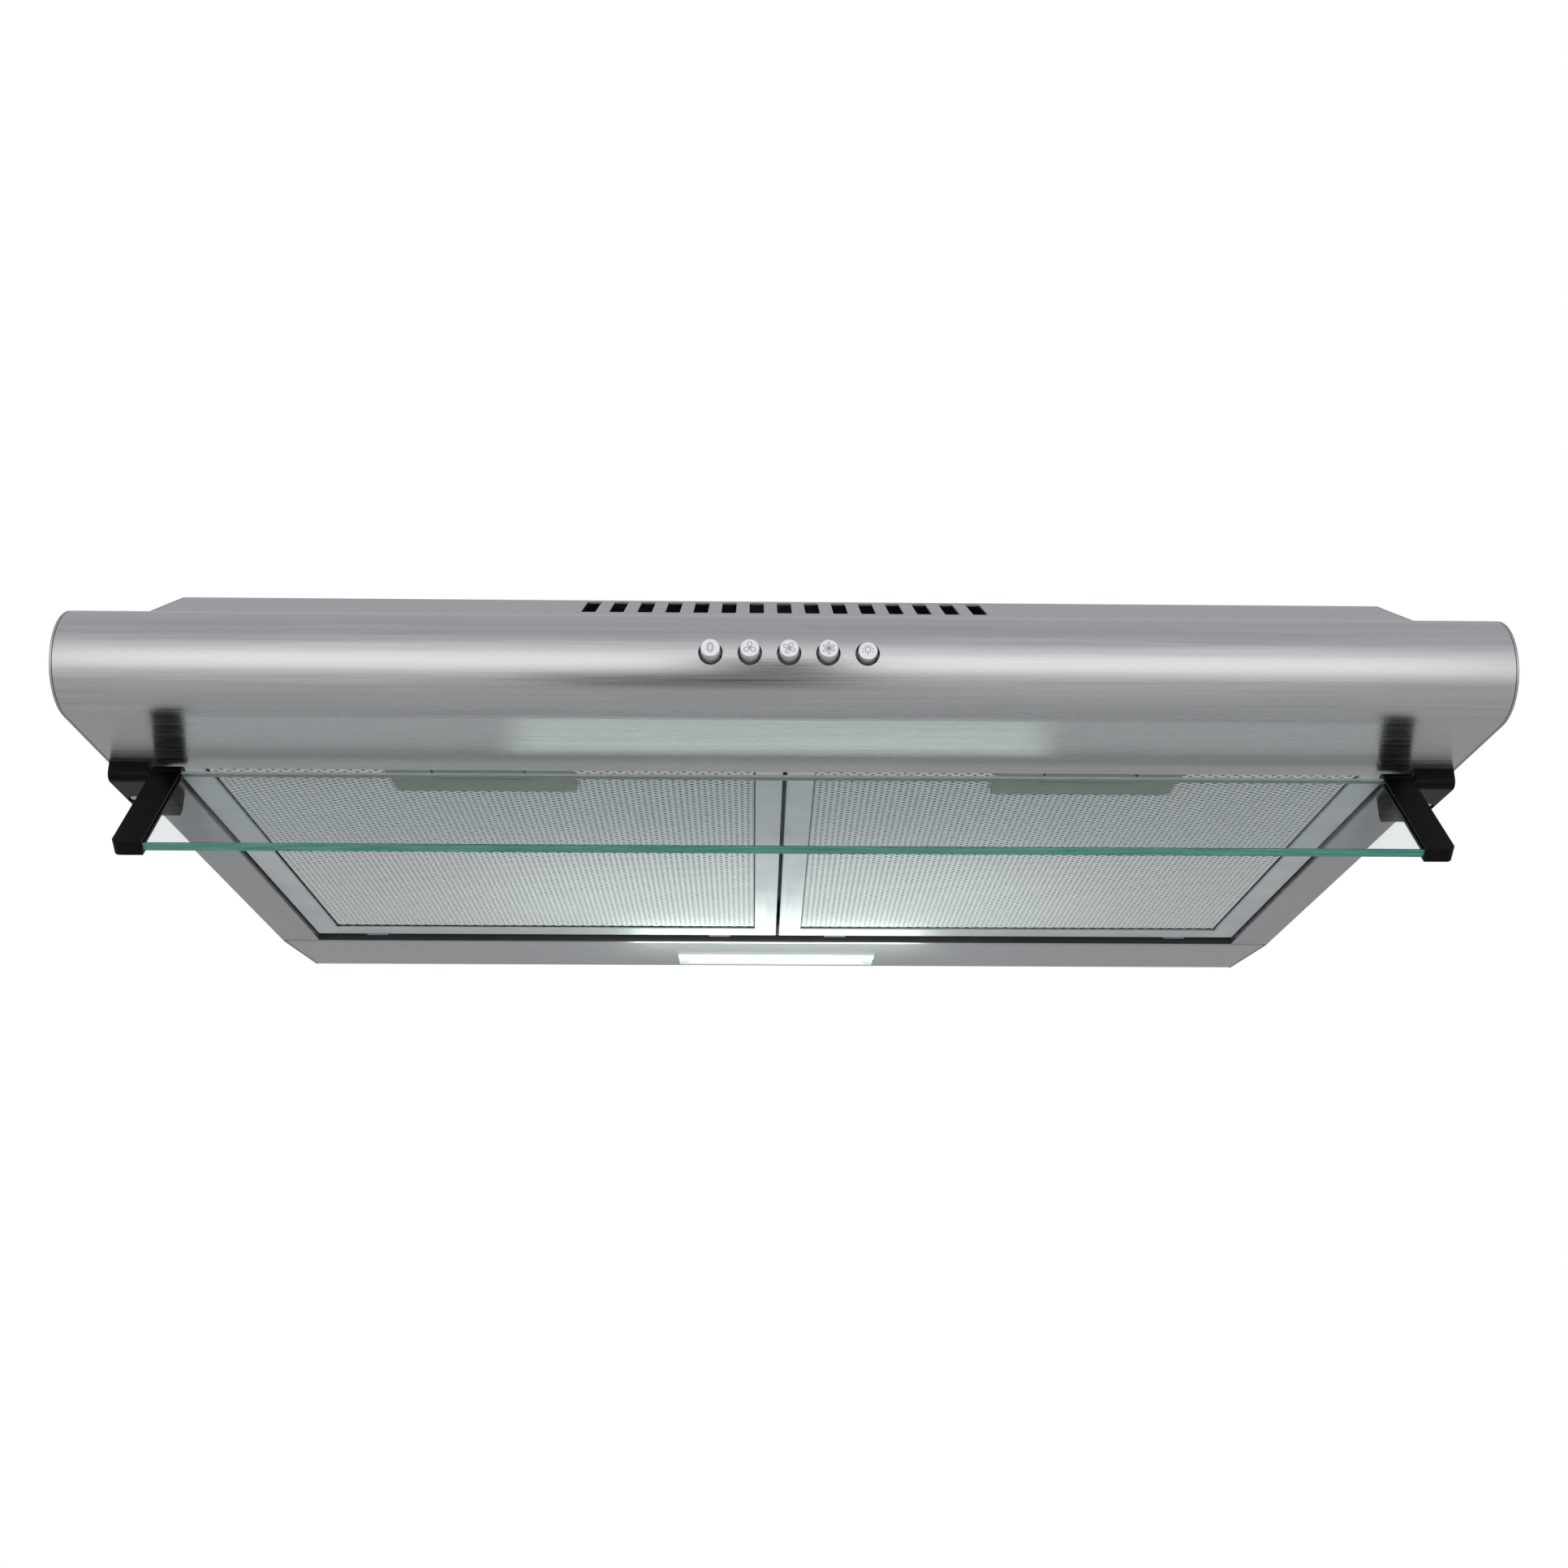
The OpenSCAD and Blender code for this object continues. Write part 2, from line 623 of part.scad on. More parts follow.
// side is 1 for the right flap, -1 for the left one; they share the pin, turn and turn about.
module damper_flap(side) {
  seg = knuckle_span / knuckle_n;
  gap = knuckle_r + 0.4;
  first = side > 0 ? 0 : 1;
  translate([0, duct_y, flap_z]) difference() {
    union() {
      intersection() {
        translate([0, 0, -flap_t / 2]) cylinder(h = flap_t, r = duct_in - flap_gap, $fn = 96);
        box([side > 0 ? gap : -duct_r, -duct_r, -5], [side > 0 ? duct_r : -gap, duct_r, 5]);
      }
      for (i = [first:2:knuckle_n - 1])
        translate([0, -knuckle_span / 2 + i * seg + knuckle_gap / 2, 0]) {
          rotate([-90, 0, 0]) cylinder(h = seg - knuckle_gap, r = knuckle_r, $fn = 32);
          box([side > 0 ? 0 : -gap - 1, 0, -flap_t / 2],
            [side > 0 ? gap + 1 : 0, seg - knuckle_gap, flap_t / 2]);
        }
    }
    translate([0, -duct_r, 0]) rotate([-90, 0, 0])
      cylinder(h = 2 * duct_r, r = flap_pin_r + run_gap, $fn = 32);
  }
}
module damper_flap_right() { color("gray") hung() damper_flap(1); }
module damper_flap_left() { color("gray") hung() damper_flap(-1); }

// Controls

module switch_block() {
  z0 = button_z - block_h / 2;
  color("black") hung() difference() {
    box([-block_half, block_y, z0], [block_half, block_y + block_d, z0 + block_h]);
    for (i = [-2:2]) translate([i * button_pitch, block_y - cut, button_z]) rotate([-90, 0, 0])
      cylinder(h = stem_end - block_y + 8, r = stem_r + hinge_gap);
  }
}
module switch_bracket() {
  cheek = 2;
  foot_y = nose_r + 2;
  x1 = block_half + cheek;
  z0 = button_z - block_h / 2;
  back = block_y + block_d;
  color("dimgray") hung() difference() {
    union() {
      box([-x1, plate_front, z0 + 1], [x1, plate_front + guide_t, z0 + block_h - 1]);
      both_sides() box([block_half, plate_front, z0 + 1], [x1, back, z0 + block_h - 1]);
      both_sides() box([block_half, foot_y, sheet_t], [x1, back, z0 + 2]);
      box([-x1, foot_y, sheet_t], [x1, back, sheet_t + 1.5]);
    }
    for (i = [-2:2]) translate([i * button_pitch, -cut, button_z]) rotate([-90, 0, 0])
      cylinder(h = plate_front + guide_t + 2 * cut, r = button_r + 0.35);
  }
}
module button(place, pressed) {
  chamfer = 0.5;
  translate([place * button_pitch, pressed, button_z]) rotate([-90, 0, 0]) rotate_extrude()
    polygon([[0, -button_out], [button_r - chamfer, -button_out],
      [button_r, -button_out + chamfer], [button_r, collar_y], [collar_r, collar_y],
      [collar_r, collar_y + collar_t], [stem_r, collar_y + collar_t], [stem_r, stem_end],
      [0, stem_end]]);
}
module button_off() { color("whitesmoke") hung() button(-2, 0); }
module button_speed_1() { color("whitesmoke") hung() button(-1, 0); }
module button_speed_2() { color("whitesmoke") hung() button(0, 0); }
module button_speed_3() { color("whitesmoke") hung() button(1, 0); }
module button_light() { color("whitesmoke") hung() button(2, light_in); }

module terminal_box() {
  wall = 2;
  x0 = cable_x - 31;
  x1 = cable_x + 31;
  z0 = hood_h - 28;
  color("black") hung() difference() {
    box([x0, cable_y - 22, z0], [x1, cable_y + 22, under_top]);
    box([x0 + wall, cable_y - 22 + wall, z0 - cut], [x1 - wall, cable_y + 22 - wall, under_top - wall]);
    translate([cable_x, cable_y, under_top - wall - cut])
      cylinder(h = wall + 2 * cut, r = cable_hole_r + 3.5);
  }
}
module terminal_cover() {
  z0 = hood_h - 30;
  color("dimgray") hung() box([cable_x - 31, cable_y - 22, z0], [cable_x + 31, cable_y + 22, z0 + 2]);
}
module cable_grommet() {
  color("black") hung() translate([cable_x, cable_y, 0]) difference() {
    union() {
      translate([0, 0, under_top - 2]) cylinder(h = 2, r = cable_hole_r + 3);
      translate([0, 0, under_top]) cylinder(h = sheet_t, r = cable_hole_r - seat_gap);
    }
    translate([0, 0, under_top - 1]) cylinder(h = 5, r = cable_hole_r - 3);
  }
}

// Visor

module visor_glass() {
  x = arm_x0 + glass_in;
  color("lightseagreen", 0.4) hung() at_visor()
    box([-x, glass_start, -glass_t / 2], [x, glass_reach, glass_t / 2]);
}
module visor_arm() {
  tip = glass_reach + arm_tip;
  corner = 3;
  at_visor() difference() {
    union() {
      rod_x(arm_x0, arm_x1, knuckle_visor_r, $fn = 48);
      translate([0, 0, -arm_t / 2]) linear_extrude(arm_t) {
        translate([arm_x0, 0]) square([arm_w, tip - corner]);
        translate([arm_x0, 0]) square([arm_w - corner, tip]);
        translate([arm_x1 - corner, tip - corner]) circle(corner, $fn = 32);
      }
    }
    box([arm_x0 - cut, glass_start, -glass_t / 2], [arm_x0 + glass_in, glass_reach, glass_t / 2]);
    rod_x(arm_x0 + glass_in + 1, arm_x1 + cut, visor_pin_r + run_gap, $fn = 48);
  }
}
module visor_arm_right() { color("black") hung() visor_arm(); }
module visor_arm_left() { color("black") hung() mirror([1, 0, 0]) visor_arm(); }

module visor_bracket() {
  x0 = arm_x1 + arm_side_gap;
  x1 = half_w - bracket_side_gap;
  corner_r = 4;
  pad_y = pivot_y + bracket_step;
  recess = 3;
  difference() {
    union() {
      along_x(x0, x1) {
        translate([bracket_y0, -bracket_h + corner_r]) square([pad_y - bracket_y0 + 1, bracket_h - corner_r]);
        translate([bracket_y0 + corner_r, -bracket_h]) square([pad_y - bracket_y0 - corner_r + 1, bracket_h]);
        translate([bracket_y0 + corner_r, -bracket_h + corner_r]) circle(corner_r, $fn = 32);
      }
      translate([0, 0, -bracket_h]) linear_extrude(bracket_h) polygon([
        [x0 - pad_in, pad_y], [x1, pad_y], [x1, bracket_y1], [x0 + 2, bracket_y1],
        [x0 - pad_in, bracket_y1 - 7]]);
    }
    translate([0, pivot_y, pivot_z]) rod_x(x0 - cut, x0 + 9, visor_pin_r + seat_gap, $fn = 48);
    translate([half_w - bracket_screw_in, bracket_screw_y, -bracket_h - cut]) {
      cylinder(h = recess + cut, r = 4.6);
      cylinder(h = bracket_h + 2 * cut, r = 1.6);
    }
  }
}
module visor_bracket_right() { color("black") hung() visor_bracket(); }
module visor_bracket_left() { color("black") hung() mirror([1, 0, 0]) visor_bracket(); }

module visor_pin() {
  translate([0, pivot_y, pivot_z])
    rod_x(arm_x0 + glass_in + 1.5, arm_x1 + arm_side_gap + 8.9, visor_pin_r, $fn = 48);
}
module visor_pin_right() { color("silver") hung() visor_pin(); }
module visor_pin_left() { color("silver") hung() mirror([1, 0, 0]) visor_pin(); }

module visor_screws() {
  z = -bracket_h + 3;
  color("silver") hung() both_sides() translate([half_w - bracket_screw_in, bracket_screw_y, z]) {
    cylinder(h = 12, r = 1.5);
    translate([0, 0, -2.4]) cylinder(h = 2.4, r = 4);
  }
}

// Grease filters, drawn for the right-hand side and mirrored for the left

module filter_frame() {
  z0 = filter_z;
  z1 = filter_z + filter_t;
  t = frame_t;
  difference() {
    union() {
      box([filter_x0, filter_y0, z0], [filter_x1, filter_y1, z1]);
      tongue_places() translate([0, hinge_y, hinge_z]) {
        rod_x(-tongue_w / 2, tongue_w / 2, hinge_r, $fn = 48);
        box([-tongue_w / 2, filter_y1 - hinge_y - t, -1], [tongue_w / 2, 0, 1]);
      }
    }
    box([filter_x0 + t, filter_y0 + t, z0 + t], [filter_x1 - t, filter_y1 - t, z1 - t]);
    for (z = [z0 - cut, z1 - t - cut])
      box([filter_x0 + inner_frame_w, filter_y0 + front_frame_w, z],
        [filter_x1 - side_frame_w, filter_y1 - rear_frame_w, z + t + 2 * cut]);
    box([filter_mid - well_w / 2 - tab_gap, filter_y0 + t, z0 - cut],
      [filter_mid + well_w / 2 + tab_gap, filter_y0 + front_frame_w + cut, z0 + 2 * t]);
    box([filter_mid - bolt_w / 2 - 2, filter_y0 - cut, bolt_z - bolt_gap],
      [filter_mid + bolt_w / 2 + 2, filter_y0 + t + cut, bolt_z + bolt_h + bolt_gap]);
  }
}
module filter_mesh() {
  t = frame_t;
  difference() {
    box([filter_x0 + t, filter_y0 + t, filter_z + t],
      [filter_x1 - t, filter_y1 - t, filter_z + filter_t - t]);
    box([filter_x0, filter_y0 + t + mesh_skin, filter_z + t + mesh_skin],
      [filter_x1, filter_y1 - t - mesh_skin, filter_z + filter_t - t - mesh_skin]);
    box([filter_mid - well_w / 2, filter_y0, filter_z],
      [filter_mid + well_w / 2, well_y1, well_z1]);
  }
}
module filter_handle() {
  corner = 3;
  w = well_wall;
  z = filter_z - plate_t;
  difference() {
    union() {
      translate([filter_mid, plate_y0 + plate_d / 2, z]) linear_extrude(plate_t)
        rounded(plate_w, plate_d, corner, $fn = 32);
      difference() {
        box([filter_mid - well_w / 2, filter_y0 + frame_t, filter_z],
          [filter_mid + well_w / 2, well_y1, well_z1]);
        box([filter_mid - well_w / 2 + w, filter_y0 + frame_t + w, filter_z - cut],
          [filter_mid + well_w / 2 - w, well_y1 - w, well_z1 - w]);
      }
    }
    box([filter_mid - tab_w / 2 - tab_gap, tab_y0 - tab_gap, z - cut],
      [filter_mid + tab_w / 2 + tab_gap, tab_y0 + tab_d + latch_travel + tab_gap, filter_z + 0.01]);
    box([filter_mid - bolt_w / 2 - 2, filter_y0, bolt_z - bolt_gap],
      [filter_mid + bolt_w / 2 + 2, filter_y0 + frame_t + w + cut, bolt_z + bolt_h + bolt_gap]);
  }
}
module filter_latch() {
  z = filter_z - plate_t;
  slider_y0 = filter_y0 + frame_t + well_wall + 0.5;
  box([filter_mid - tab_w / 2, tab_y0, z], [filter_mid + tab_w / 2, tab_y0 + tab_d, filter_z]);
  box([filter_mid - tab_w / 2, tab_y0 + tab_d - 1, z - 1.2], [filter_mid + tab_w / 2, tab_y0 + tab_d, z]);
  box([filter_mid - tab_w / 2 + 2, slider_y0, filter_z],
    [filter_mid + tab_w / 2 - 2, tab_y0 + tab_d, well_z1 - well_wall - 0.4]);
  box([filter_mid - bolt_w / 2, bolt_tip, bolt_z], [filter_mid + bolt_w / 2, slider_y0, bolt_z + bolt_h]);
}
module filter_spring() {
  y0 = tab_y0 + tab_d;
  y1 = well_y1 - well_wall;
  coil_r = well_in_h / 2 - 0.6;
  translate([filter_mid, y0, filter_z + well_in_h / 2]) rotate([-90, 0, 0]) difference() {
    cylinder(h = y1 - y0, r = coil_r, $fn = 32);
    translate([0, 0, -cut]) cylinder(h = y1 - y0 + 2 * cut, r = coil_r - 0.5, $fn = 32);
  }
}
module filter_right_frame() { color("silver") hung() filter_frame(); }
module filter_right_mesh() { color("gainsboro") hung() filter_mesh(); }
module filter_right_handle() { color("gray") hung() filter_handle(); }
module filter_right_latch() { color("darkgray") hung() filter_latch(); }
module filter_right_spring() { color("silver") hung() filter_spring(); }
module filter_left_frame() { color("silver") hung() mirror([1, 0, 0]) filter_frame(); }
module filter_left_mesh() { color("gainsboro") hung() mirror([1, 0, 0]) filter_mesh(); }
module filter_left_handle() { color("gray") hung() mirror([1, 0, 0]) filter_handle(); }
module filter_left_latch() { color("darkgray") hung() mirror([1, 0, 0]) filter_latch(); }
module filter_left_spring() { color("silver") hung() mirror([1, 0, 0]) filter_spring(); }

top_panel();
back_panel();
side_panel_left();
side_panel_right();
front_panel();
lamp_panel();
filter_rail();
back_screws();
lamp_lens();
lamp_housing();
led_board();
led_driver();
blower_housing();
blower_cover();
outlet_box();
inlet_guard();
blower_hangers();
motor_body();
motor_screws();
motor_shaft();
impeller();
impeller_nut();
capacitor();
duct_collar();
damper_pin();
damper_flap_left();
damper_flap_right();
switch_block();
switch_bracket();
button_off();
button_speed_1();
button_speed_2();
button_speed_3();
button_light();
terminal_box();
terminal_cover();
cable_grommet();
visor_glass();
visor_arm_left();
visor_arm_right();
visor_bracket_left();
visor_bracket_right();
visor_pin_left();
visor_pin_right();
visor_screws();
filter_left_frame();
filter_left_mesh();
filter_left_handle();
filter_left_latch();
filter_left_spring();
filter_right_frame();
filter_right_mesh();
filter_right_handle();
filter_right_latch();
filter_right_spring();
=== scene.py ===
# %% [markdown]
# # A hood that hangs under a kitchen cabinet
# The object is a thin steel hood: a folded casing with a rounded nose, two grease filters under
# it, a lamp strip at the back, five buttons, and a swinging glass visor on two black arms. Its
# size and its moving parts come from a CAD frame, which is loaded first. What Blender adds is
# the finish: true curves, small radii on the folded edges, expanded mesh, glass and brushed steel.

# %% Load the frame
import json
import math

import bpy
from mathutils import Matrix, Vector


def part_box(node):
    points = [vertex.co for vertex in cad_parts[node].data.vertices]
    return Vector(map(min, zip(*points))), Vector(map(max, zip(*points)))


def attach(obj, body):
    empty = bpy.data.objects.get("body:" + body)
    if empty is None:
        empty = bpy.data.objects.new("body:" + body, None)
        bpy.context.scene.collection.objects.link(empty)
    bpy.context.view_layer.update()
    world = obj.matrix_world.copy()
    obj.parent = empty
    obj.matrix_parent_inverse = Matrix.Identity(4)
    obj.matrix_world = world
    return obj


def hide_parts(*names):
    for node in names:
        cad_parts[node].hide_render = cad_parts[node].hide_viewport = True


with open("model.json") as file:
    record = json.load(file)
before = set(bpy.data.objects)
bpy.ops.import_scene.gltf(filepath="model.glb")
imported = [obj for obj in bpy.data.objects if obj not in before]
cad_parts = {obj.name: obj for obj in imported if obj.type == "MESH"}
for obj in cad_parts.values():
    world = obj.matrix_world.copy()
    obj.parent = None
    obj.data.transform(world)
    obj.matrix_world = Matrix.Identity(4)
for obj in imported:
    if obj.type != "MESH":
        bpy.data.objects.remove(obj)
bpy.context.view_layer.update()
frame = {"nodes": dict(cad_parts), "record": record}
MM = 0.001

# %% [markdown]
# The drawing counts from the front of the nose and from the underside, in millimetres, which is
# easier to think in than the frame's metres. The nose's own box ties the two together, so one
# small function turns a place on the drawing into a place in the frame.

# %% Places on the drawing
NOSE_LO, NOSE_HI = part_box("front_panel")
HALF_W = NOSE_HI.x / MM


def at(x, y, z):
    """A place on the drawing: x to the right, y back from the nose, z up from the underside."""
    return Vector((x * MM, NOSE_LO.y + y * MM, NOSE_LO.z + z * MM))


print("half width inside the side panels", round(HALF_W, 2), "mm")

# %% [markdown]
# ## Camera
# The hood is looked at from in front and below, as by a cook who bends down a little. The camera
# could be aimed with a constraint, but writing its three directions out keeps it fixed.

# %% The camera
bpy.context.scene.view_settings.view_transform = "Standard"
CAMERA_YAW = 0.0168828
CAMERA_PITCH = 0.3575614
ahead = Vector(
    (
        math.sin(CAMERA_YAW) * math.cos(CAMERA_PITCH),
        math.cos(CAMERA_YAW) * math.cos(CAMERA_PITCH),
        math.sin(CAMERA_PITCH),
    )
)
across = Vector((math.cos(CAMERA_YAW), -math.sin(CAMERA_YAW), 0))
bpy.ops.object.camera_add()
camera = bpy.context.object
camera.matrix_world = Matrix.Translation(at(-12.7, -629, -271.5)) @ (
    Matrix((across, across.cross(ahead), -ahead)).transposed().to_4x4()
)
camera.data.lens = 39.03
camera.data.sensor_width = 36
camera.data.clip_start = 0.01
bpy.context.scene.camera = camera
print("camera at", [round(v, 3) for v in camera.location])

# %% [markdown]
# ## Making materials
# Every finish starts from what the real thing is made of. Small functions do the work: one turns
# a colour as it is written for a screen into the linear numbers that light is computed in, one
# adds a node with its settings and its links, and one starts a material. The last four make a
# pattern, set its range, and use it as colour or as relief.


# %% Functions for materials
def linear(colour):
    """An sRGB hex colour such as '8fa3b0' as linear red, green, blue and alpha."""
    parts = [int(colour[i : i + 2], 16) / 255 for i in (0, 2, 4)]
    return tuple(p / 12.92 if p <= 0.04045 else ((p + 0.055) / 1.055) ** 2.4 for p in parts) + (1,)


def add(tree, kind, into=None, **settings):
    """Adds a node: settings are its own, into gives its sockets a value or another's output."""
    node = tree.nodes.new(kind)
    for name, value in settings.items():
        setattr(node, name, value)
    for socket, value in (into or {}).items():
        if isinstance(value, bpy.types.NodeSocket):
            tree.links.new(value, node.inputs[socket])
        else:
            node.inputs[socket].default_value = value
    return node


def start(name, colour, roughness, metallic=0.0, **own):
    """A new material: its node tree, its Principled shader and the object's coordinates."""
    material = bpy.data.materials.new(name)
    material.use_nodes = True
    tree = material.node_tree
    shader = tree.nodes["Principled BSDF"]
    shader.inputs["Base Color"].default_value = linear(colour)
    shader.inputs["Roughness"].default_value = roughness
    shader.inputs["Metallic"].default_value = metallic
    for socket, value in own.items():
        shader.inputs[socket.replace("_", " ")].default_value = value
    place = add(tree, "ShaderNodeTexCoord").outputs["Object"]
    return material, tree, shader, place


def grain(tree, place, across_mm, detail=2.0):
    """Noise whose spots measure across_mm along x, y and z."""
    size = [1 / (mm * MM) for mm in across_mm]
    stretched = add(tree, "ShaderNodeMapping", {"Vector": place, "Scale": size})
    into = {"Vector": stretched.outputs[0], "Scale": 1.0, "Detail": detail}
    return add(tree, "ShaderNodeTexNoise", into).outputs[0]


def between(tree, value, low, high, start_at=0.3, end_at=0.7):
    """Spreads a pattern's middle range over low to high."""
    into = {
        "Value": value,
        "From Min": start_at,
        "From Max": end_at,
        "To Min": low,
        "To Max": high,
    }
    return add(tree, "ShaderNodeMapRange", into).outputs[0]


def tint(tree, shader, value, first, second):
    """Colours the shader from first to second as value runs from 0 to 1."""
    mix = add(tree, "ShaderNodeMix", {0: value}, data_type="RGBA")
    mix.inputs[6].default_value = linear(first)
    mix.inputs[7].default_value = linear(second)
    tree.links.new(mix.outputs[2], shader.inputs["Base Color"])


def relief(tree, shader, height, depth_mm, strength=1.0):
    """Bump of about depth_mm."""
    into = {"Height": height, "Distance": depth_mm * MM, "Strength": strength}
    bump = add(tree, "ShaderNodeBump", into)
    tree.links.new(bump.outputs[0], shader.inputs["Normal"])


# %% [markdown]
# ## Steel, paint and aluminium
# The nose is stainless steel, brushed along its length with an abrasive belt: fine scratches
# that run from side to side and pull every reflection up and down. The scratches are about a
# tenth of a millimetre apart, too fine to show, so they are drawn three times as coarse, and
# broader faint bands lie over them, as a belt leaves them.

# %% Brushed stainless steel
brushed_steel, tree, shader, place = start("brushed_stainless_steel", "c0c1c2", 0.3, 1.0)
scratches = grain(tree, place, (45, 0.35, 0.35), 3)
bands = grain(tree, place, (160, 2.5, 2.5), 2)
both = add(tree, "ShaderNodeMath", {0: scratches, 1: bands}, operation="ADD")
half = add(tree, "ShaderNodeMath", {0: both.outputs[0], 1: 0.5}, operation="MULTIPLY").outputs[0]
tint(tree, shader, between(tree, half, 0, 1, 0.35, 0.65), "b9babb", "c7c8c9")
tree.links.new(between(tree, half, 0.21, 0.31, 0.35, 0.65), shader.inputs["Roughness"])
relief(tree, shader, scratches, 0.02, 0.35)
shader.inputs["Anisotropic"].default_value = 0.75
around = add(tree, "ShaderNodeTangent", direction_type="RADIAL", axis="X")
tree.links.new(around.outputs[0], shader.inputs["Tangent"])
print(brushed_steel.name)

# %% [markdown]
# The rest of the casing is sheet steel under silver paint: fine metal flakes in a satin lacquer.
# It shows softer reflections than the nose and no direction.

# %% Silver paint
silver_paint, tree, shader, place = start("silver_painted_sheet_steel", "b4b6b7", 0.36, 0.9)
flakes = grain(tree, place, (0.5, 0.5, 0.5), 1)
orange_peel = grain(tree, place, (6, 6, 6), 2)
tint(tree, shader, between(tree, flakes, 0, 1), "adafb0", "bbbdbe")
tree.links.new(between(tree, orange_peel, 0.33, 0.4), shader.inputs["Roughness"])
relief(tree, shader, flakes, 0.01, 0.2)
print(silver_paint.name)

# %% [markdown]
# The filters' frames are thin rolled aluminium, left bare: pale, soft, with faint lines from
# the roller along the strip. The mesh is the same metal, slit and pulled open. The layers of
# mesh behind it are the same metal too, but coloured dark grey with darker holes: painted shade.

# %% Aluminium
rolled_aluminium, tree, shader, place = start("rolled_aluminium_strip", "d6dadb", 0.38, 0.85)
rolling = grain(tree, place, (2, 60, 2), 2)
smudges = grain(tree, place, (30, 30, 30), 3)
tint(tree, shader, between(tree, smudges, 0, 1), "d0d5d6", "dfe3e3")
tree.links.new(between(tree, rolling, 0.42, 0.52), shader.inputs["Roughness"])
relief(tree, shader, rolling, 0.01, 0.25)

mesh_aluminium, tree, shader, place = start("expanded_aluminium_mesh", "eef2f2", 0.42, 0.55)
rubbed = grain(tree, place, (1.5, 1.5, 1.5), 2)
tint(tree, shader, between(tree, rubbed, 0, 1), "e2e7e7", "f6f9f9")
relief(tree, shader, grain(tree, place, (0.8, 0.8, 0.8), 2), 0.03, 0.4)

# Painted shade: the deeper layers are coloured dark grey, darkest in the cells of the weave, for
# the shade inside the filter.
inner_mesh_painted_shade, tree, shader, place = start("inner_mesh_layers_in_painted_shade", "b4babb", 0.6, 0.6)
weave_painted_shade = add(
    tree,
    "ShaderNodeTexVoronoi",
    {
        "Vector": add(
            tree, "ShaderNodeMapping", {"Vector": place, "Scale": (1 / 0.0058, 1 / 0.0033, 100)}
        ).outputs[0],
        "Scale": 1.0,
        "Randomness": 0.0,
    },
)
tint(tree, shader, between(tree, weave_painted_shade.outputs[0], 0, 1, 0.1, 0.6), "363c3f", "8f9698")
relief(tree, shader, weave_painted_shade.outputs[0], 0.6, 0.6)
print(rolled_aluminium.name, mesh_aluminium.name, inner_mesh_painted_shade.name)

# %% [markdown]
# The brackets, rails and guards inside are zinc-plated: bluish grey, with the large soft
# crystals of the zinc. Screws, pins and springs are bright plated steel.

# %% Plated steel
zinc, tree, shader, place = start("zinc_plated_steel", "a9aeb3", 0.4, 1.0)
crystals = add(
    tree,
    "ShaderNodeTexVoronoi",
    {
        "Vector": add(
            tree, "ShaderNodeMapping", {"Vector": place, "Scale": (1 / 0.004,) * 3}
        ).outputs[0],
        "Scale": 1.0,
    },
)
tint(tree, shader, crystals.outputs["Distance"], "9ea4aa", "bac0c5")
tree.links.new(between(tree, crystals.outputs["Distance"], 0.34, 0.5), shader.inputs["Roughness"])

plated_screw, tree, shader, place = start("bright_plated_screw_steel", "c8c9cb", 0.24, 1.0)
turning = grain(tree, place, (0.6, 0.6, 0.6), 2)
tree.links.new(between(tree, turning, 0.18, 0.32), shader.inputs["Roughness"])
relief(tree, shader, turning, 0.02, 0.3)

satin_chrome, tree, shader, place = start("satin_chromed_button_caps", "eceef0", 0.3, 0.8)
blast = grain(tree, place, (0.35, 0.35, 0.35), 1)
tree.links.new(between(tree, blast, 0.26, 0.36), shader.inputs["Roughness"])
relief(tree, shader, blast, 0.01, 0.25)

# The raised lines are coloured a darker grey than the caps: painted shade along the lines.
sign_chrome_painted_shade, tree, shader, place = start("raised_line_on_chrome_with_painted_shade", "8e9399", 0.4, 0.8)
relief(tree, shader, grain(tree, place, (0.3, 0.3, 0.3), 1), 0.01, 0.25)
print(zinc.name, plated_screw.name, satin_chrome.name)


# %% [markdown]
# ## Plastics and glass
# The arms and brackets of the visor are moulded in black plastic from an etched mould: a fine
# stipple that breaks up the highlights. The filters' handles are a grey-green plastic of the
# same kind. One function makes every moulded plastic, because only the colour, the gloss and
# the stipple's size differ. It also does for the rubber, the circuit board and a few small parts
# deep inside, two of which are made metallic afterwards. The black rubber also serves as the
# painted shade on the lamp strip's lip.


# %% Moulded plastics
def moulded(name, colour, lighter, roughness, stipple_mm, depth_mm=0.02, sheen=0.5):
    """A plastic from an etched mould, with a stipple of that size."""
    material, tree, shader, place = start(name, colour, roughness)
    shader.inputs["Specular IOR Level"].default_value = sheen
    stipple = grain(tree, place, (stipple_mm,) * 3, 2)
    cloud = grain(tree, place, (12, 12, 12), 2)
    tint(tree, shader, between(tree, cloud, 0, 1), colour, lighter)
    tree.links.new(
        between(tree, stipple, roughness - 0.06, roughness + 0.06), shader.inputs["Roughness"]
    )
    relief(tree, shader, stipple, depth_mm, 0.4)
    return material


black_plastic = moulded("black_moulded_abs", "030304", "060607", 0.34, 0.5, sheen=0.12)
handle_plastic = moulded("grey_green_moulded_abs", "7d8779", "858f81", 0.42, 0.5, sheen=0.3)
housing_plastic = moulded("grey_polypropylene", "85898c", "8d9194", 0.5, 0.7, 0.03)
white_plastic = moulded("white_moulded_abs", "dddedc", "e4e5e3", 0.42, 0.5)
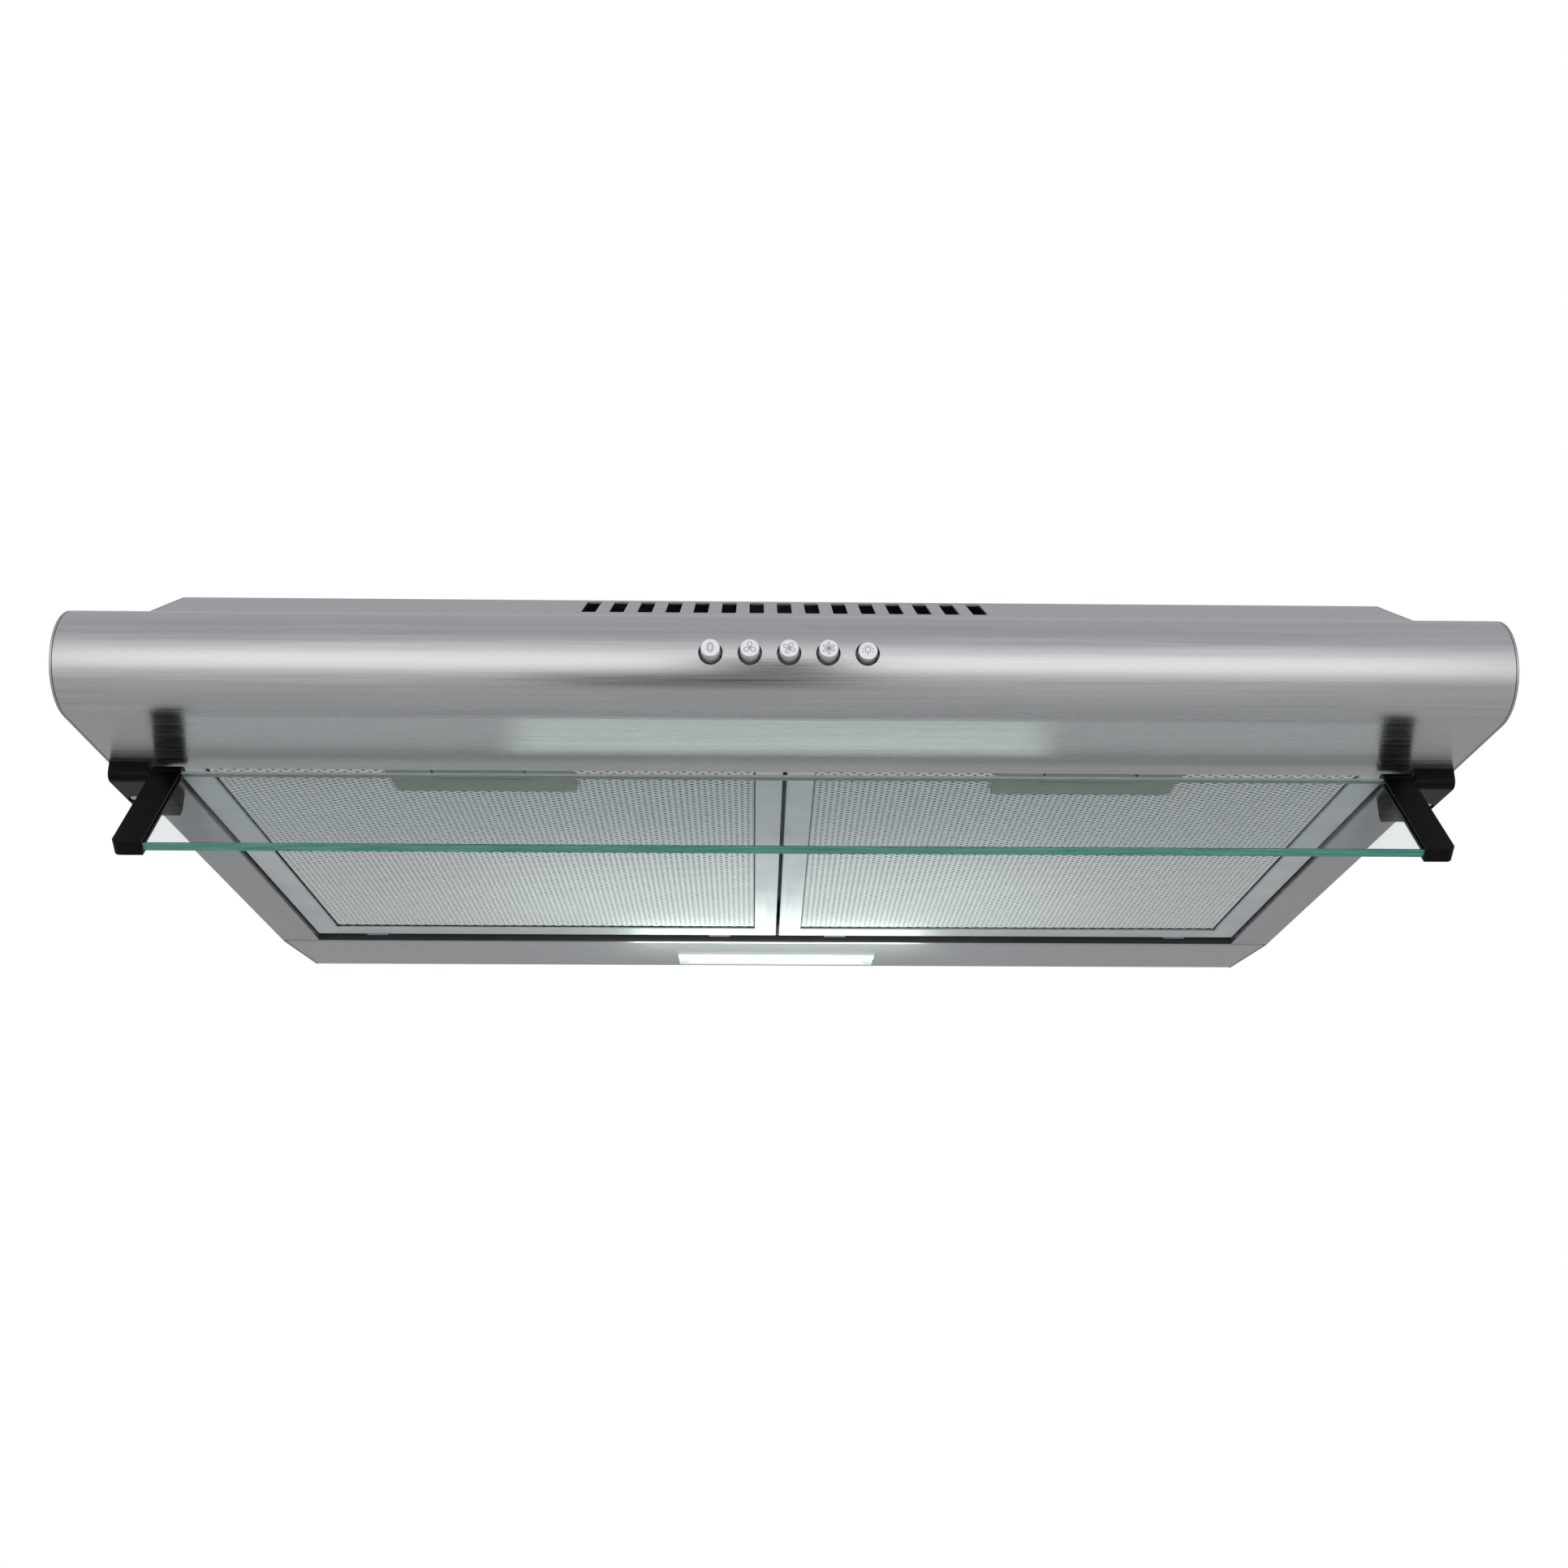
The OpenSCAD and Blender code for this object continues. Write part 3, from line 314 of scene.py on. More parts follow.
# Black rubber: the cable grommet's own finish, and also the painted shade on the lamp strip's lip.
rubber_and_painted_shade = moulded("black_rubber", "18181a", "222224", 0.7, 0.4, 0.04)
board = moulded("green_glass_fibre_circuit_board", "1d5b3a", "236844", 0.4, 0.3)
capacitor_case = moulded("aluminium_coloured_capacitor_case", "b8babd", "c0c2c5", 0.35, 0.6)
motor_steel = moulded("black_lacquered_motor_stack", "3a3d41", "4a4d51", 0.45, 0.8, 0.05)
motor_steel.node_tree.nodes["Principled BSDF"].inputs["Metallic"].default_value = 0.6
brass = moulded("turned_brass", "c9a75a", "d3b26a", 0.3, 0.6)
brass.node_tree.nodes["Principled BSDF"].inputs["Metallic"].default_value = 1.0
print("plastics", black_plastic.name, handle_plastic.name)

# %% [markdown]
# The visor is a strip of clear float glass, 4 mm thick, with ground and polished long edges.
# Looked at through its faces it is nearly clear; looked at along the pane, the iron in it makes
# the edges sea green, and the strip along its top edge is frosted. Three materials on one pane
# do this more reliably than one with absorption.
# The lamp's lens is opal plastic in front of LEDs: white, and lit from inside.

# %% Glass and the lit lens
clear_glass, tree, shader, place = start(
    "clear_float_glass", "f1f5f5", 0.0, Transmission_Weight=1.0, IOR=1.5
)
faint_film = grain(tree, place, (40, 40, 40), 2)
tree.links.new(between(tree, faint_film, 0.0, 0.02), shader.inputs["Roughness"])

glass_edge, tree, shader, place = start(
    "green_ground_glass_edge", "55a596", 0.12, Transmission_Weight=0.3, IOR=1.5
)
ground = grain(tree, place, (25, 0.8, 0.8), 2)
tint(tree, shader, between(tree, ground, 0, 1), "469b8b", "74bdae")

glass_top, tree, shader, place = start("frosted_top_edge_of_the_glass", "cfdad6", 0.5)
tint(tree, shader, grain(tree, place, (6, 6, 6), 2), "c6d3ce", "dbe5e1")

lens_rim = moulded("opal_lens_rim", "c9cfcd", "d3d8d6", 0.4, 0.5)
opal_lens, tree, shader, place = start("opal_lens_lit_by_leds", "f2f5f3", 0.35)
shader.inputs["Emission Color"].default_value = linear("f0fffa")
shader.inputs["Emission Strength"].default_value = 3.0
diffusing = grain(tree, place, (0.6, 0.6, 0.6), 1)
relief(tree, shader, diffusing, 0.02, 0.3)
print(clear_glass.name, glass_edge.name, opal_lens.name)


# %% [markdown]
# ## Finishing what the CAD frame already has
# Most of the folded and moulded parts have the right shape in the frame, but a CAD mesh is loose
# triangles with knife-sharp edges, and light never catches a sharp edge. So a copy is taken, its
# doubled points are merged, its flat areas are made whole faces again, and a small bevel gives
# each corner the radius it has after folding or moulding. The copy stands in for the CAD node.


# %% A function that finishes a copy of a node
def only(piece):
    """Leaves piece alone selected and active."""
    bpy.ops.object.select_all(action="DESELECT")
    piece.select_set(True)
    bpy.context.view_layer.objects.active = piece


def body_name(node):
    """The CAD body that a node belongs to."""
    bodies = frame["record"]["behaviour"]["bodies"]
    return next(name for name, nodes in bodies.items() if node in nodes)


def settle(piece, node, *others):
    """Puts a finished piece on the node's body and hides the node, with any others given."""
    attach(piece, body_name(node))
    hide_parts(node, *others)


def merged_copy(node, name):
    """A copy of a node's mesh as a new object, merged and with its flat faces made whole."""
    piece = bpy.data.objects.new(name, frame["nodes"][node].data.copy())
    bpy.context.collection.objects.link(piece)
    piece.data.materials.clear()
    only(piece)
    bpy.ops.object.mode_set(mode="EDIT")
    bpy.ops.mesh.select_all(action="SELECT")
    bpy.ops.mesh.remove_doubles(threshold=0.00001)
    bpy.ops.mesh.dissolve_limited(angle_limit=math.radians(0.6))
    bpy.ops.object.mode_set(mode="OBJECT")
    return piece


def modify(piece, kind, **settings):
    """Adds a modifier with its settings and applies it."""
    only(piece)
    bpy.ops.object.modifier_add(type=kind)
    modifier = piece.modifiers[-1]
    for name, value in settings.items():
        setattr(modifier, name, value)
    bpy.ops.object.modifier_apply(modifier=modifier.name)


def smooth(piece, degrees=30):
    """Smooth shading under that angle; big flat faces keep their own normals and stay flat."""
    only(piece)
    bpy.ops.object.shade_smooth_by_angle(angle=math.radians(degrees))
    modify(piece, "WEIGHTED_NORMAL", keep_sharp=True, weight=100)


def soften(piece, radius_mm, steps=2, over_degrees=40):
    """Gives every edge sharper than that angle a radius."""
    modify(
        piece,
        "BEVEL",
        width=radius_mm * MM,
        segments=steps,
        limit_method="ANGLE",
        angle_limit=math.radians(over_degrees),
        use_clamp_overlap=True,
    )


def finished(node, material, radius_mm):
    """A finished stand-in for a node."""
    piece = merged_copy(node, node + "_finished")
    soften(piece, radius_mm)
    smooth(piece)
    piece.data.materials.append(material)
    settle(piece, node)
    return piece


# %% [markdown]
# ## The casing
# The top, the back, the two sides and the lamp strip are folded from one-millimetre sheet. Their
# edges get a radius of a few tenths of a millimetre, as a press brake and a deburring wheel
# leave them.

# %% Sheet metal of the casing
CASING = {
    "top_panel": 0.2,
    "back_panel": 0.2,
    "side_panel_left": 0.3,
    "side_panel_right": 0.3,
    "lamp_panel": 0.3,
}
for node, radius in CASING.items():
    piece = finished(node, silver_paint, radius)
    print(node, len(piece.data.polygons), "faces")

# %% [markdown]
# The front lip of the lamp strip, where the filters come down on it, sits in a dark gap. That
# shade is painted: the faces that look forward get the black rubber material, with no shape of its
# own.

# %% Painted shade on the lamp strip's lip
LOOKS_FORWARD = -0.5
lamp_strip = bpy.data.objects["lamp_panel_finished"]
# The rubber here is painted shade: the lip faces that look forward turn black for the dark gap in
# front of the filters.
lamp_strip.data.materials.append(rubber_and_painted_shade)
for face in lamp_strip.data.polygons:
    if face.normal.y < LOOKS_FORWARD:
        face.material_index = 1
print("painted_shade_band", sum(face.material_index for face in lamp_strip.data.polygons), "faces")

# %% [markdown]
# ## The nose
# The front is one sheet, rolled round a bar: a flat underside, a half round, a flat top that
# meets the slope, and a lip turned up behind. It could be copied from the frame, but its curve
# carries the long highlight that the whole hood is known by, so it is made new: a plane for the
# underside, its front edge spun through half a turn in fine steps, the two ends extruded, and
# a wall of one millimetre given with Solidify. The holes for the buttons and the slots for the
# latches are then cut with a Boolean.

# %% The rolled sheet
NOSE_R = 22.9
SLOPE_FOOT = NOSE_R + 17
FLAT_BACK = 83
LIP_HEIGHT = 14
ROLL_STEPS = 60


def edges_at(piece, y, z):
    """Selects the edges across the hood at that place on the drawing; edit mode stays on."""
    bpy.ops.mesh.select_all(action="DESELECT")
    bpy.ops.object.mode_set(mode="OBJECT")
    here = at(0, y, z)
    for vertex in piece.data.vertices:
        vertex.select = abs(vertex.co.y - here.y) < 1e-5 and abs(vertex.co.z - here.z) < 1e-5
    for edge in piece.data.edges:
        edge.select = all(piece.data.vertices[i].select for i in edge.vertices)
    bpy.ops.object.mode_set(mode="EDIT")


bpy.ops.object.select_all(action="DESELECT")
bpy.ops.mesh.primitive_plane_add(size=1, location=at(0, (NOSE_R + FLAT_BACK) / 2, 0))
nose = bpy.context.object
nose.name = "nose_sheet"
nose.scale = (2 * HALF_W * MM, (FLAT_BACK - NOSE_R) * MM, 1)
bpy.ops.object.transform_apply(location=True, rotation=True, scale=True)
bpy.context.tool_settings.mesh_select_mode = (False, True, False)
bpy.ops.object.mode_set(mode="EDIT")
edges_at(nose, NOSE_R, 0)
bpy.ops.mesh.spin(
    steps=ROLL_STEPS, angle=math.pi, center=at(0, NOSE_R, NOSE_R), axis=(1, 0, 0)
)
edges_at(nose, NOSE_R, 2 * NOSE_R)
bpy.ops.mesh.extrude_region_move(
    TRANSFORM_OT_translate={"value": (0, (SLOPE_FOOT - NOSE_R) * MM, 0)}
)
edges_at(nose, FLAT_BACK, 0)
bpy.ops.mesh.extrude_region_move(TRANSFORM_OT_translate={"value": (0, 0, LIP_HEIGHT * MM)})
bpy.ops.mesh.select_all(action="SELECT")
bpy.ops.mesh.remove_doubles(threshold=0.000005)
bpy.ops.mesh.normals_make_consistent(inside=False)
bpy.ops.object.mode_set(mode="OBJECT")
print("nose", len(nose.data.polygons), "faces, front at", min(v.co.y for v in nose.data.vertices))

# %% [markdown]
# A wall of one millimetre goes inwards. The lip's bend gets a small radius first, so that the
# edge right in front of the filters catches a thin line of light, as it does on a real fold.
# Each hole is drilled with a cylinder and each slot is cut with a block, which then go.

# %% Thickness, holes and slots
SHEET = 1
LIP_BEND_R = 0.7
BUTTONS = ["button_off", "button_speed_1", "button_speed_2", "button_speed_3", "button_light"]
HOLE_R = 5.0
DRILL_LENGTH = 24
LATCH_SLOT = (14, 5, 4.2)
LATCH_SLOT_Z = 5.5
DEBURRED_R = 0.18

only(nose)
bpy.ops.object.mode_set(mode="EDIT")
edges_at(nose, FLAT_BACK, 0)
bpy.ops.mesh.bevel(offset=LIP_BEND_R * MM, segments=5, affect="EDGES")
bpy.ops.object.mode_set(mode="OBJECT")
modify(nose, "SOLIDIFY", thickness=SHEET * MM, offset=-1)


def middle(node):
    """The middle of a node's box."""
    lo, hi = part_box(node)
    return (lo + hi) / 2


for node in BUTTONS:
    centre = middle(node)
    bpy.ops.object.select_all(action="DESELECT")
    bpy.ops.mesh.primitive_cylinder_add(
        vertices=48,
        radius=HOLE_R * MM,
        depth=DRILL_LENGTH * MM,
        location=(centre.x, NOSE_LO.y, centre.z),
        rotation=(math.pi / 2, 0, 0),
    )
    drill = bpy.context.object
    modify(nose, "BOOLEAN", operation="DIFFERENCE", solver="EXACT", object=drill)
    bpy.data.objects.remove(drill)
for node in ("filter_left_latch", "filter_right_latch"):
    centre = middle(node)
    bpy.ops.object.select_all(action="DESELECT")
    lip = at(0, FLAT_BACK, LATCH_SLOT_Z)
    bpy.ops.mesh.primitive_cube_add(size=1, location=(centre.x, lip.y, lip.z))
    slot = bpy.context.object
    slot.scale = [size * MM for size in LATCH_SLOT]
    modify(nose, "BOOLEAN", operation="DIFFERENCE", solver="EXACT", object=slot)
    bpy.data.objects.remove(slot)
modify(
    nose,
    "BEVEL",
    width=DEBURRED_R * MM,
    segments=2,
    limit_method="ANGLE",
    angle_limit=math.radians(50),
)
smooth(nose, 25)
nose.data.materials.append(brushed_steel)
settle(nose, "front_panel")
print("nose", len(nose.data.polygons), "faces", [round(v / MM, 1) for v in nose.dimensions])

# %% [markdown]
# ## Buttons
# Five round caps stand out of the nose, each with a thin raised outline on its face: a nought
# for off, propellers of three, four and six blades for the speeds, and a lamp. A cap is a
# cylinder with bevelled rims; each outline is made of thin rings that are squeezed into shape,
# laid on the face, and joined to the cap. The outlines are coloured darker than the cap as
# painted shade. The stem behind the cap is the frame's own, cut off at its back. Each cap has
# its own mesh, because each one travels by itself.

# %% Caps and their raised signs
BUTTON_R = 3.95
CAP_LENGTH = 10
LINE = 0.32
PROUD = 0.12


def ring(pieces, face, x, z, wide, tall, turn=0.0):
    """A thin raised outline on a button's face, wide by tall, turned about the face's middle."""
    bpy.ops.object.select_all(action="DESELECT")
    bpy.ops.mesh.primitive_torus_add(
        major_segments=28,
        minor_segments=6,
        major_radius=1,
        minor_radius=LINE / 2,
        location=(0, 0, 0),
        rotation=(math.pi / 2, 0, 0),
    )
    outline = bpy.context.object
    bpy.ops.object.transform_apply(location=False, rotation=True, scale=False)
    for vertex in outline.data.vertices:
        angle = math.atan2(vertex.co.z, vertex.co.x)
        out = math.hypot(vertex.co.x, vertex.co.z) - 1
        vertex.co = (
            (wide / 2 + out) * math.cos(angle) + x,
            vertex.co.y,
            (tall / 2 + out) * math.sin(angle) + z,
        )
    turned = Matrix.Rotation(turn, 4, "Y")
    outline.data.transform(Matrix.Translation(face) @ Matrix.Scale(MM, 4) @ turned)
    pieces.append(outline)


def spoke(pieces, face, x0, x1, turn):
    """A short raised line that points away from the middle of a button's face."""
    bpy.ops.object.select_all(action="DESELECT")
    bpy.ops.mesh.primitive_cylinder_add(
        vertices=8, radius=LINE / 2, depth=x1 - x0, rotation=(0, math.pi / 2, 0)
    )
    line = bpy.context.object
    bpy.ops.object.transform_apply(location=False, rotation=True, scale=False)
    line.data.transform(
        Matrix.Translation(face)
        @ Matrix.Scale(MM, 4)
        @ Matrix.Rotation(turn, 4, "Y")
        @ Matrix.Translation(((x0 + x1) / 2, 0, 0))
    )
    line.location = (0, 0, 0)
    pieces.append(line)


def sign(node, pieces, face):
    """The raised sign of one button."""
    if node == "button_off":
        ring(pieces, face, 0, 0, 2.6, 4.2)
        ring(pieces, face, 0, 0, 1.5, 3.1)
    elif node == "button_light":
        ring(pieces, face, 0, 0.3, 2.2, 2.4)
        for i in range(7):
            spoke(pieces, face, 1.7, 2.5, math.radians(-90 + (i - 3) * 36))
        spoke(pieces, face, 1.2, 2.0, math.radians(90))
    else:
        blades = {"button_speed_1": 3, "button_speed_2": 4, "button_speed_3": 6}[node]
        ring(pieces, face, 0, 0, 0.7, 0.7)
        for i in range(blades):
            ring(pieces, face, 1.55, 0, 2.1, 5.4 / blades, 2 * math.pi * i / blades + 0.5)


for node in BUTTONS:
    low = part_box(node)[0]
    centre = middle(node)
    bpy.ops.object.select_all(action="DESELECT")
    bpy.ops.mesh.primitive_cylinder_add(
        vertices=64,
        radius=BUTTON_R * MM,
        depth=CAP_LENGTH * MM,
        location=(centre.x, low.y + (CAP_LENGTH / 2 + PROUD) * MM, centre.z),
        rotation=(math.pi / 2, 0, 0),
    )
    cap = bpy.context.object
    cap.name = node + "_cap"
    bpy.ops.object.transform_apply(location=True, rotation=True, scale=True)
    stem = merged_copy(node, node + "_stem")
    only(stem)
    bpy.ops.object.mode_set(mode="EDIT")
    bpy.ops.mesh.select_all(action="SELECT")
    bpy.ops.mesh.bisect(
        plane_co=(0, low.y + (CAP_LENGTH + PROUD) * MM, 0),
        plane_no=(0, 1, 0),
        clear_inner=True,
        use_fill=True,
    )
    bpy.ops.object.mode_set(mode="OBJECT")
    soften(cap, 0.45, 3, 60)
    raised = []
    sign(node, raised, Vector((centre.x, low.y + LINE / 2 * MM, centre.z)))
    for piece, finish in [(cap, satin_chrome), (stem, satin_chrome)] + [
        (line, sign_chrome_painted_shade) for line in raised
    ]:
        piece.data.materials.clear()
        piece.data.materials.append(finish)
    bpy.ops.object.select_all(action="DESELECT")
    for piece in [stem, cap] + raised:
        piece.select_set(True)
    bpy.context.view_layer.objects.active = cap
    bpy.ops.object.join()
    smooth(cap, 35)
    settle(cap, node)
    print(node, len(cap.data.polygons), "faces")

# %% [markdown]
# ## Filters
# A grease filter is a tray of expanded aluminium mesh in a rolled frame. Expanded mesh is sheet
# that is slit in rows and pulled open: each strand zigzags, touches the next one at every
# corner, and lies tilted, which is why each hole shows a bright crescent above a dark gap. A
# pattern in a material would stay flat, so the strands are real: tilted zigzag ribbons, side by
# side down the filter, every second one shifted by half a hole. There are thousands of bends,
# too many to pull one by one in edit mode, so their corners are worked out in a loop.

# %% One sheet of expanded mesh
HOLE_LONG = 5.8
HOLE_SHORT = 3.3
STRAND = 0.86
TILT = 0.3
SWING = 0.92 * HOLE_SHORT / 4


def expanded_mesh(name, x0, x1, y0, y1, z):
    """A sheet of zigzag strands from x0 to x1 and y0 to y1 on the drawing, at height z."""
    steps = round((x1 - x0) / (HOLE_LONG / 2))
    rows = round((y1 - y0) / (HOLE_SHORT / 2))
    verts, faces = [], []
    for row in range(rows):
        middle_y = y0 + (row + 0.5) * (y1 - y0) / rows
        for step in range(steps + 1):
            x = x0 + step * (x1 - x0) / steps
            y = middle_y + (SWING if (step + row) % 2 else -SWING)
            verts.append(at(x, y - STRAND / 2, z + TILT / 2))
            verts.append(at(x, y + STRAND / 2, z - TILT / 2))
        first = row * 2 * (steps + 1)
        for step in range(steps):
            a = first + 2 * step
            faces.append((a, a + 1, a + 3, a + 2))
    mesh = bpy.data.meshes.new(name)
    mesh.from_pydata([tuple(v) for v in verts], [], faces)
    piece = bpy.data.objects.new(name, mesh)
    bpy.context.collection.objects.link(piece)
    return piece


# %% [markdown]
# The frame is rolled from strip. The two side strips lap over the rear one, and their inner
# corner there is rounded off, so each is a thin plate with one upright edge bevelled. Behind the
# outer sheet of mesh lie more layers: the frame's plain mesh, pushed up a little, does for them,
# and their shade is painted on it as a dark weave. The hinge tongues reach past the frame's
# back, so the place of its back is given.

# %% The two filters
SIDE_W, INNER_W, REAR_W = 14, 12.5, 14
FILTER_BACK = 365.8
STRIP_THICK = 1.2
STRIP_CORNER_R = 4.5
MESH_SHEET = 0.22
OUTER_LAYER_UP = 0.5
INNER_LAYER_UP = 1.4
MESH_GAP = 0.5
FRONT_GAP = 1
REAR_GAP = 1.2
STRIP_INSET = 0.4
STRIP_END = 3.5


def side_strip(x0, x1, y0, y1, z, inner_x):
    """The rolled strip along a filter's side: its rear inner corner is rounded off."""
    bpy.ops.object.select_all(action="DESELECT")
    bpy.ops.mesh.primitive_cube_add(size=1, location=at((x0 + x1) / 2, (y0 + y1) / 2, z))
    strip = bpy.context.object
    strip.scale = ((x1 - x0) * MM, (y1 - y0) * MM, STRIP_THICK * MM)
    bpy.ops.object.transform_apply(location=True, rotation=True, scale=True)
    corner = at(inner_x, y1, 0)
    bpy.context.tool_settings.mesh_select_mode = (False, True, False)
    for part in (strip.data.vertices, strip.data.edges, strip.data.polygons):
        part.foreach_set("select", [False] * len(part))
    for edge in strip.data.edges:
        ends = [strip.data.vertices[i].co for i in edge.vertices]
        edge.select = all((end.xy - corner.xy).length < 0.1 * MM for end in ends)
    bpy.ops.object.mode_set(mode="EDIT")
    bpy.ops.mesh.bevel(offset=STRIP_CORNER_R * MM, segments=8, affect="EDGES")
    bpy.ops.object.mode_set(mode="OBJECT")
    soften(strip, 0.15, 2, 50)
    return strip


for side in ("left", "right"):
    low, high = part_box(f"filter_{side}_frame")
    origin = at(0, 0, 0)
    low, high = (low - origin) / MM, (high - origin) / MM
    high.y = FILTER_BACK
    left_w, right_w = (INNER_W, SIDE_W) if side == "right" else (SIDE_W, INNER_W)
    window = (
        low.x + left_w + MESH_GAP,
        high.x - right_w - MESH_GAP,
        low.y + FRONT_GAP,
        high.y - REAR_W - REAR_GAP,
    )
    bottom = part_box(f"filter_{side}_mesh")[0]
    mesh_z = (bottom.z - origin.z) / MM
    strands = expanded_mesh(f"filter_{side}_strands", *window, mesh_z + OUTER_LAYER_UP)
    modify(strands, "SOLIDIFY", thickness=MESH_SHEET * MM, offset=0)
    backing = merged_copy(f"filter_{side}_mesh", f"filter_{side}_inner_mesh_painted_shade")
    lowest = bottom.z + INNER_LAYER_UP * MM
    last = at(0, window[3], 0).y
    for vertex in backing.data.vertices:
        vertex.co.z = max(vertex.co.z, lowest)
        vertex.co.y = min(vertex.co.y, last)
    strands.data.materials.append(mesh_aluminium)
    # The backing carries the painted shade of the deeper layers.
    backing.data.materials.append(inner_mesh_painted_shade)
    settle(backing, f"filter_{side}_mesh")
    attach(strands, f"filter_{side}")
    finished(f"filter_{side}_frame", rolled_aluminium, 0.35)
    strips = []
    for x0, x1, inner_x in (
        (low.x + STRIP_INSET, low.x + left_w, low.x + left_w),
        (high.x - right_w, high.x - STRIP_INSET, high.x - right_w),
    ):
        ends = (low.y + FRONT_GAP, high.y - STRIP_END)
        strips.append(side_strip(x0, x1, *ends, low.z, inner_x))
    for strip in strips:
        strip.data.materials.append(rolled_aluminium)
        smooth(strip)
    bpy.ops.object.select_all(action="DESELECT")
    for strip in strips:
        strip.select_set(True)
    bpy.context.view_layer.objects.active = strips[0]
    bpy.ops.object.join()
    strips[0].name = f"filter_{side}_side_strips"
    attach(strips[0], f"filter_{side}")
    finished(f"filter_{side}_handle", handle_plastic, 0.4)
    finished(f"filter_{side}_latch", handle_plastic, 0.35)
    print(side, "filter:", len(strands.data.polygons), "strand faces")

# %% [markdown]
# ## The visor
# The pane is a plain strip, but its long edges are ground and polished: the bevel does that, and
# every face that looks along the pane gets the green edge material. A cut across the pane, just
# below its top edge, marks off the frosted strip; `along` points across the strip, up and back.

# %% The glass pane
FROST_W = 2.4
pane = merged_copy("visor_glass", "visor_pane")
soften(pane, 0.5, 2)
along = Vector((0, 0.618, 0.786))
band = max(v.co.dot(along) for v in pane.data.vertices) - FROST_W * MM
only(pane)
bpy.ops.object.mode_set(mode="EDIT")
bpy.ops.mesh.select_all(action="SELECT")
bpy.ops.mesh.bisect(plane_co=along * band, plane_no=along)
bpy.ops.object.mode_set(mode="OBJECT")
smooth(pane, 50)
for glass in (clear_glass, glass_edge, glass_top):
    pane.data.materials.append(glass)
widest = max(pane.data.polygons, key=lambda face: face.area).normal.copy()
for face in pane.data.polygons:
    if abs(face.normal.dot(widest)) < 0.9:
        face.material_index = 1
    if face.center.dot(along) > band:
        face.material_index = 2
settle(pane, "visor_glass")
print("pane", len(pane.data.polygons), "faces")

# %% [markdown]
# ## Arms, brackets and the parts inside
# The black arms and brackets, the duct collar with its flaps, the blower and the small electric
# parts have the right shape in the frame. Each takes its own finish, and an edge radius that
# suits how it is made and how thick it is.

# %% Parts with rounded edges
ROUNDED = {
    "visor_arm_left": (black_plastic, 1.3),
    "visor_arm_right": (black_plastic, 1.3),
    "visor_bracket_left": (black_plastic, 0.7),
    "visor_bracket_right": (black_plastic, 0.7),
    "duct_collar": (housing_plastic, 0.4),
    "damper_flap_left": (housing_plastic, 0.2),
    "damper_flap_right": (housing_plastic, 0.2),
    "blower_housing": (housing_plastic, 0.3),
    "blower_cover": (housing_plastic, 0.3),
    "outlet_box": (housing_plastic, 0.4),
    "lamp_housing": (white_plastic, 0.4),
    "led_driver": (white_plastic, 1.2),
    "capacitor": (capacitor_case, 0.6),
    "switch_block": (black_plastic, 0.4),
    "switch_bracket": (zinc, 0.2),
    "terminal_box": (black_plastic, 0.5),
    "terminal_cover": (black_plastic, 0.6),
    "cable_grommet": (rubber_and_painted_shade, 0.5),
    "filter_rail": (zinc, 0.2),
    "blower_hangers": (zinc, 0.2),
    "motor_body": (motor_steel, 0.6),
    "back_screws": (plated_screw, 0.3),
    "visor_screws": (plated_screw, 0.3),
}
for node, (material, radius) in ROUNDED.items():
    piece = finished(node, material, radius)
    print(node, len(piece.data.polygons), "faces")

# %% [markdown]
# The lens is one moulding, but only its middle is lit: the rim round it clips into the strip.
# The face is inset by the rim's width, and the inner face alone gets the lit material.

# %% The lamp's lens
LENS_RIM_W = 5.5
lens = merged_copy("lamp_lens", "lens_with_rim")
soften(lens, 0.3)
lens.data.materials.append(lens_rim)
lens.data.materials.append(opal_lens)
only(lens)
underneath = [f for f in lens.data.polygons if f.normal.z < -0.9]
lit = max(underneath, key=lambda f: f.area).index
bpy.context.tool_settings.mesh_select_mode = (False, False, True)
bpy.ops.object.mode_set(mode="EDIT")
bpy.ops.mesh.select_all(action="DESELECT")
bpy.ops.object.mode_set(mode="OBJECT")
lens.data.polygons[lit].select = True
bpy.ops.object.mode_set(mode="EDIT")
bpy.ops.mesh.inset(thickness=LENS_RIM_W * MM)
bpy.ops.object.mode_set(mode="OBJECT")
for face in lens.data.polygons:
    face.material_index = int(face.select)
smooth(lens)
settle(lens, "lamp_lens")
print("lit faces", sum(f.material_index for f in lens.data.polygons))

# %% [markdown]
# What sits deep inside keeps its CAD mesh, and only its finish changes.

# %% Finishes of the nodes that stay
KEPT = {
    "inlet_guard": zinc,
    "motor_screws": plated_screw,
    "motor_shaft": plated_screw,
    "impeller": housing_plastic,
    "impeller_nut": brass,
    "led_board": board,
    "damper_pin": plated_screw,
    "visor_pin_left": plated_screw,
    "visor_pin_right": plated_screw,
    "filter_left_spring": plated_screw,
    "filter_right_spring": plated_screw,
}
for node, material in KEPT.items():
    kept = frame["nodes"][node]
    if not kept.data.materials:
        kept.data.materials.append(material)
    for place in kept.material_slots:
        place.material = material
print(len(KEPT), "nodes kept")

# %% [markdown]
# ## The studio
# Steel is a mirror, so the hood looks like what stands around it. In front, behind the camera,
# a wide soft light draws the long highlight on the nose, and a larger one fills in round it.
# The white wall behind the hood is there for the camera and the glass only: the steel doesn't
# see it, so the underside stays grey. Two dark cards stand in for the camera and its stand,
# which a nose like this always reflects. The lights and the dark cards don't show themselves.


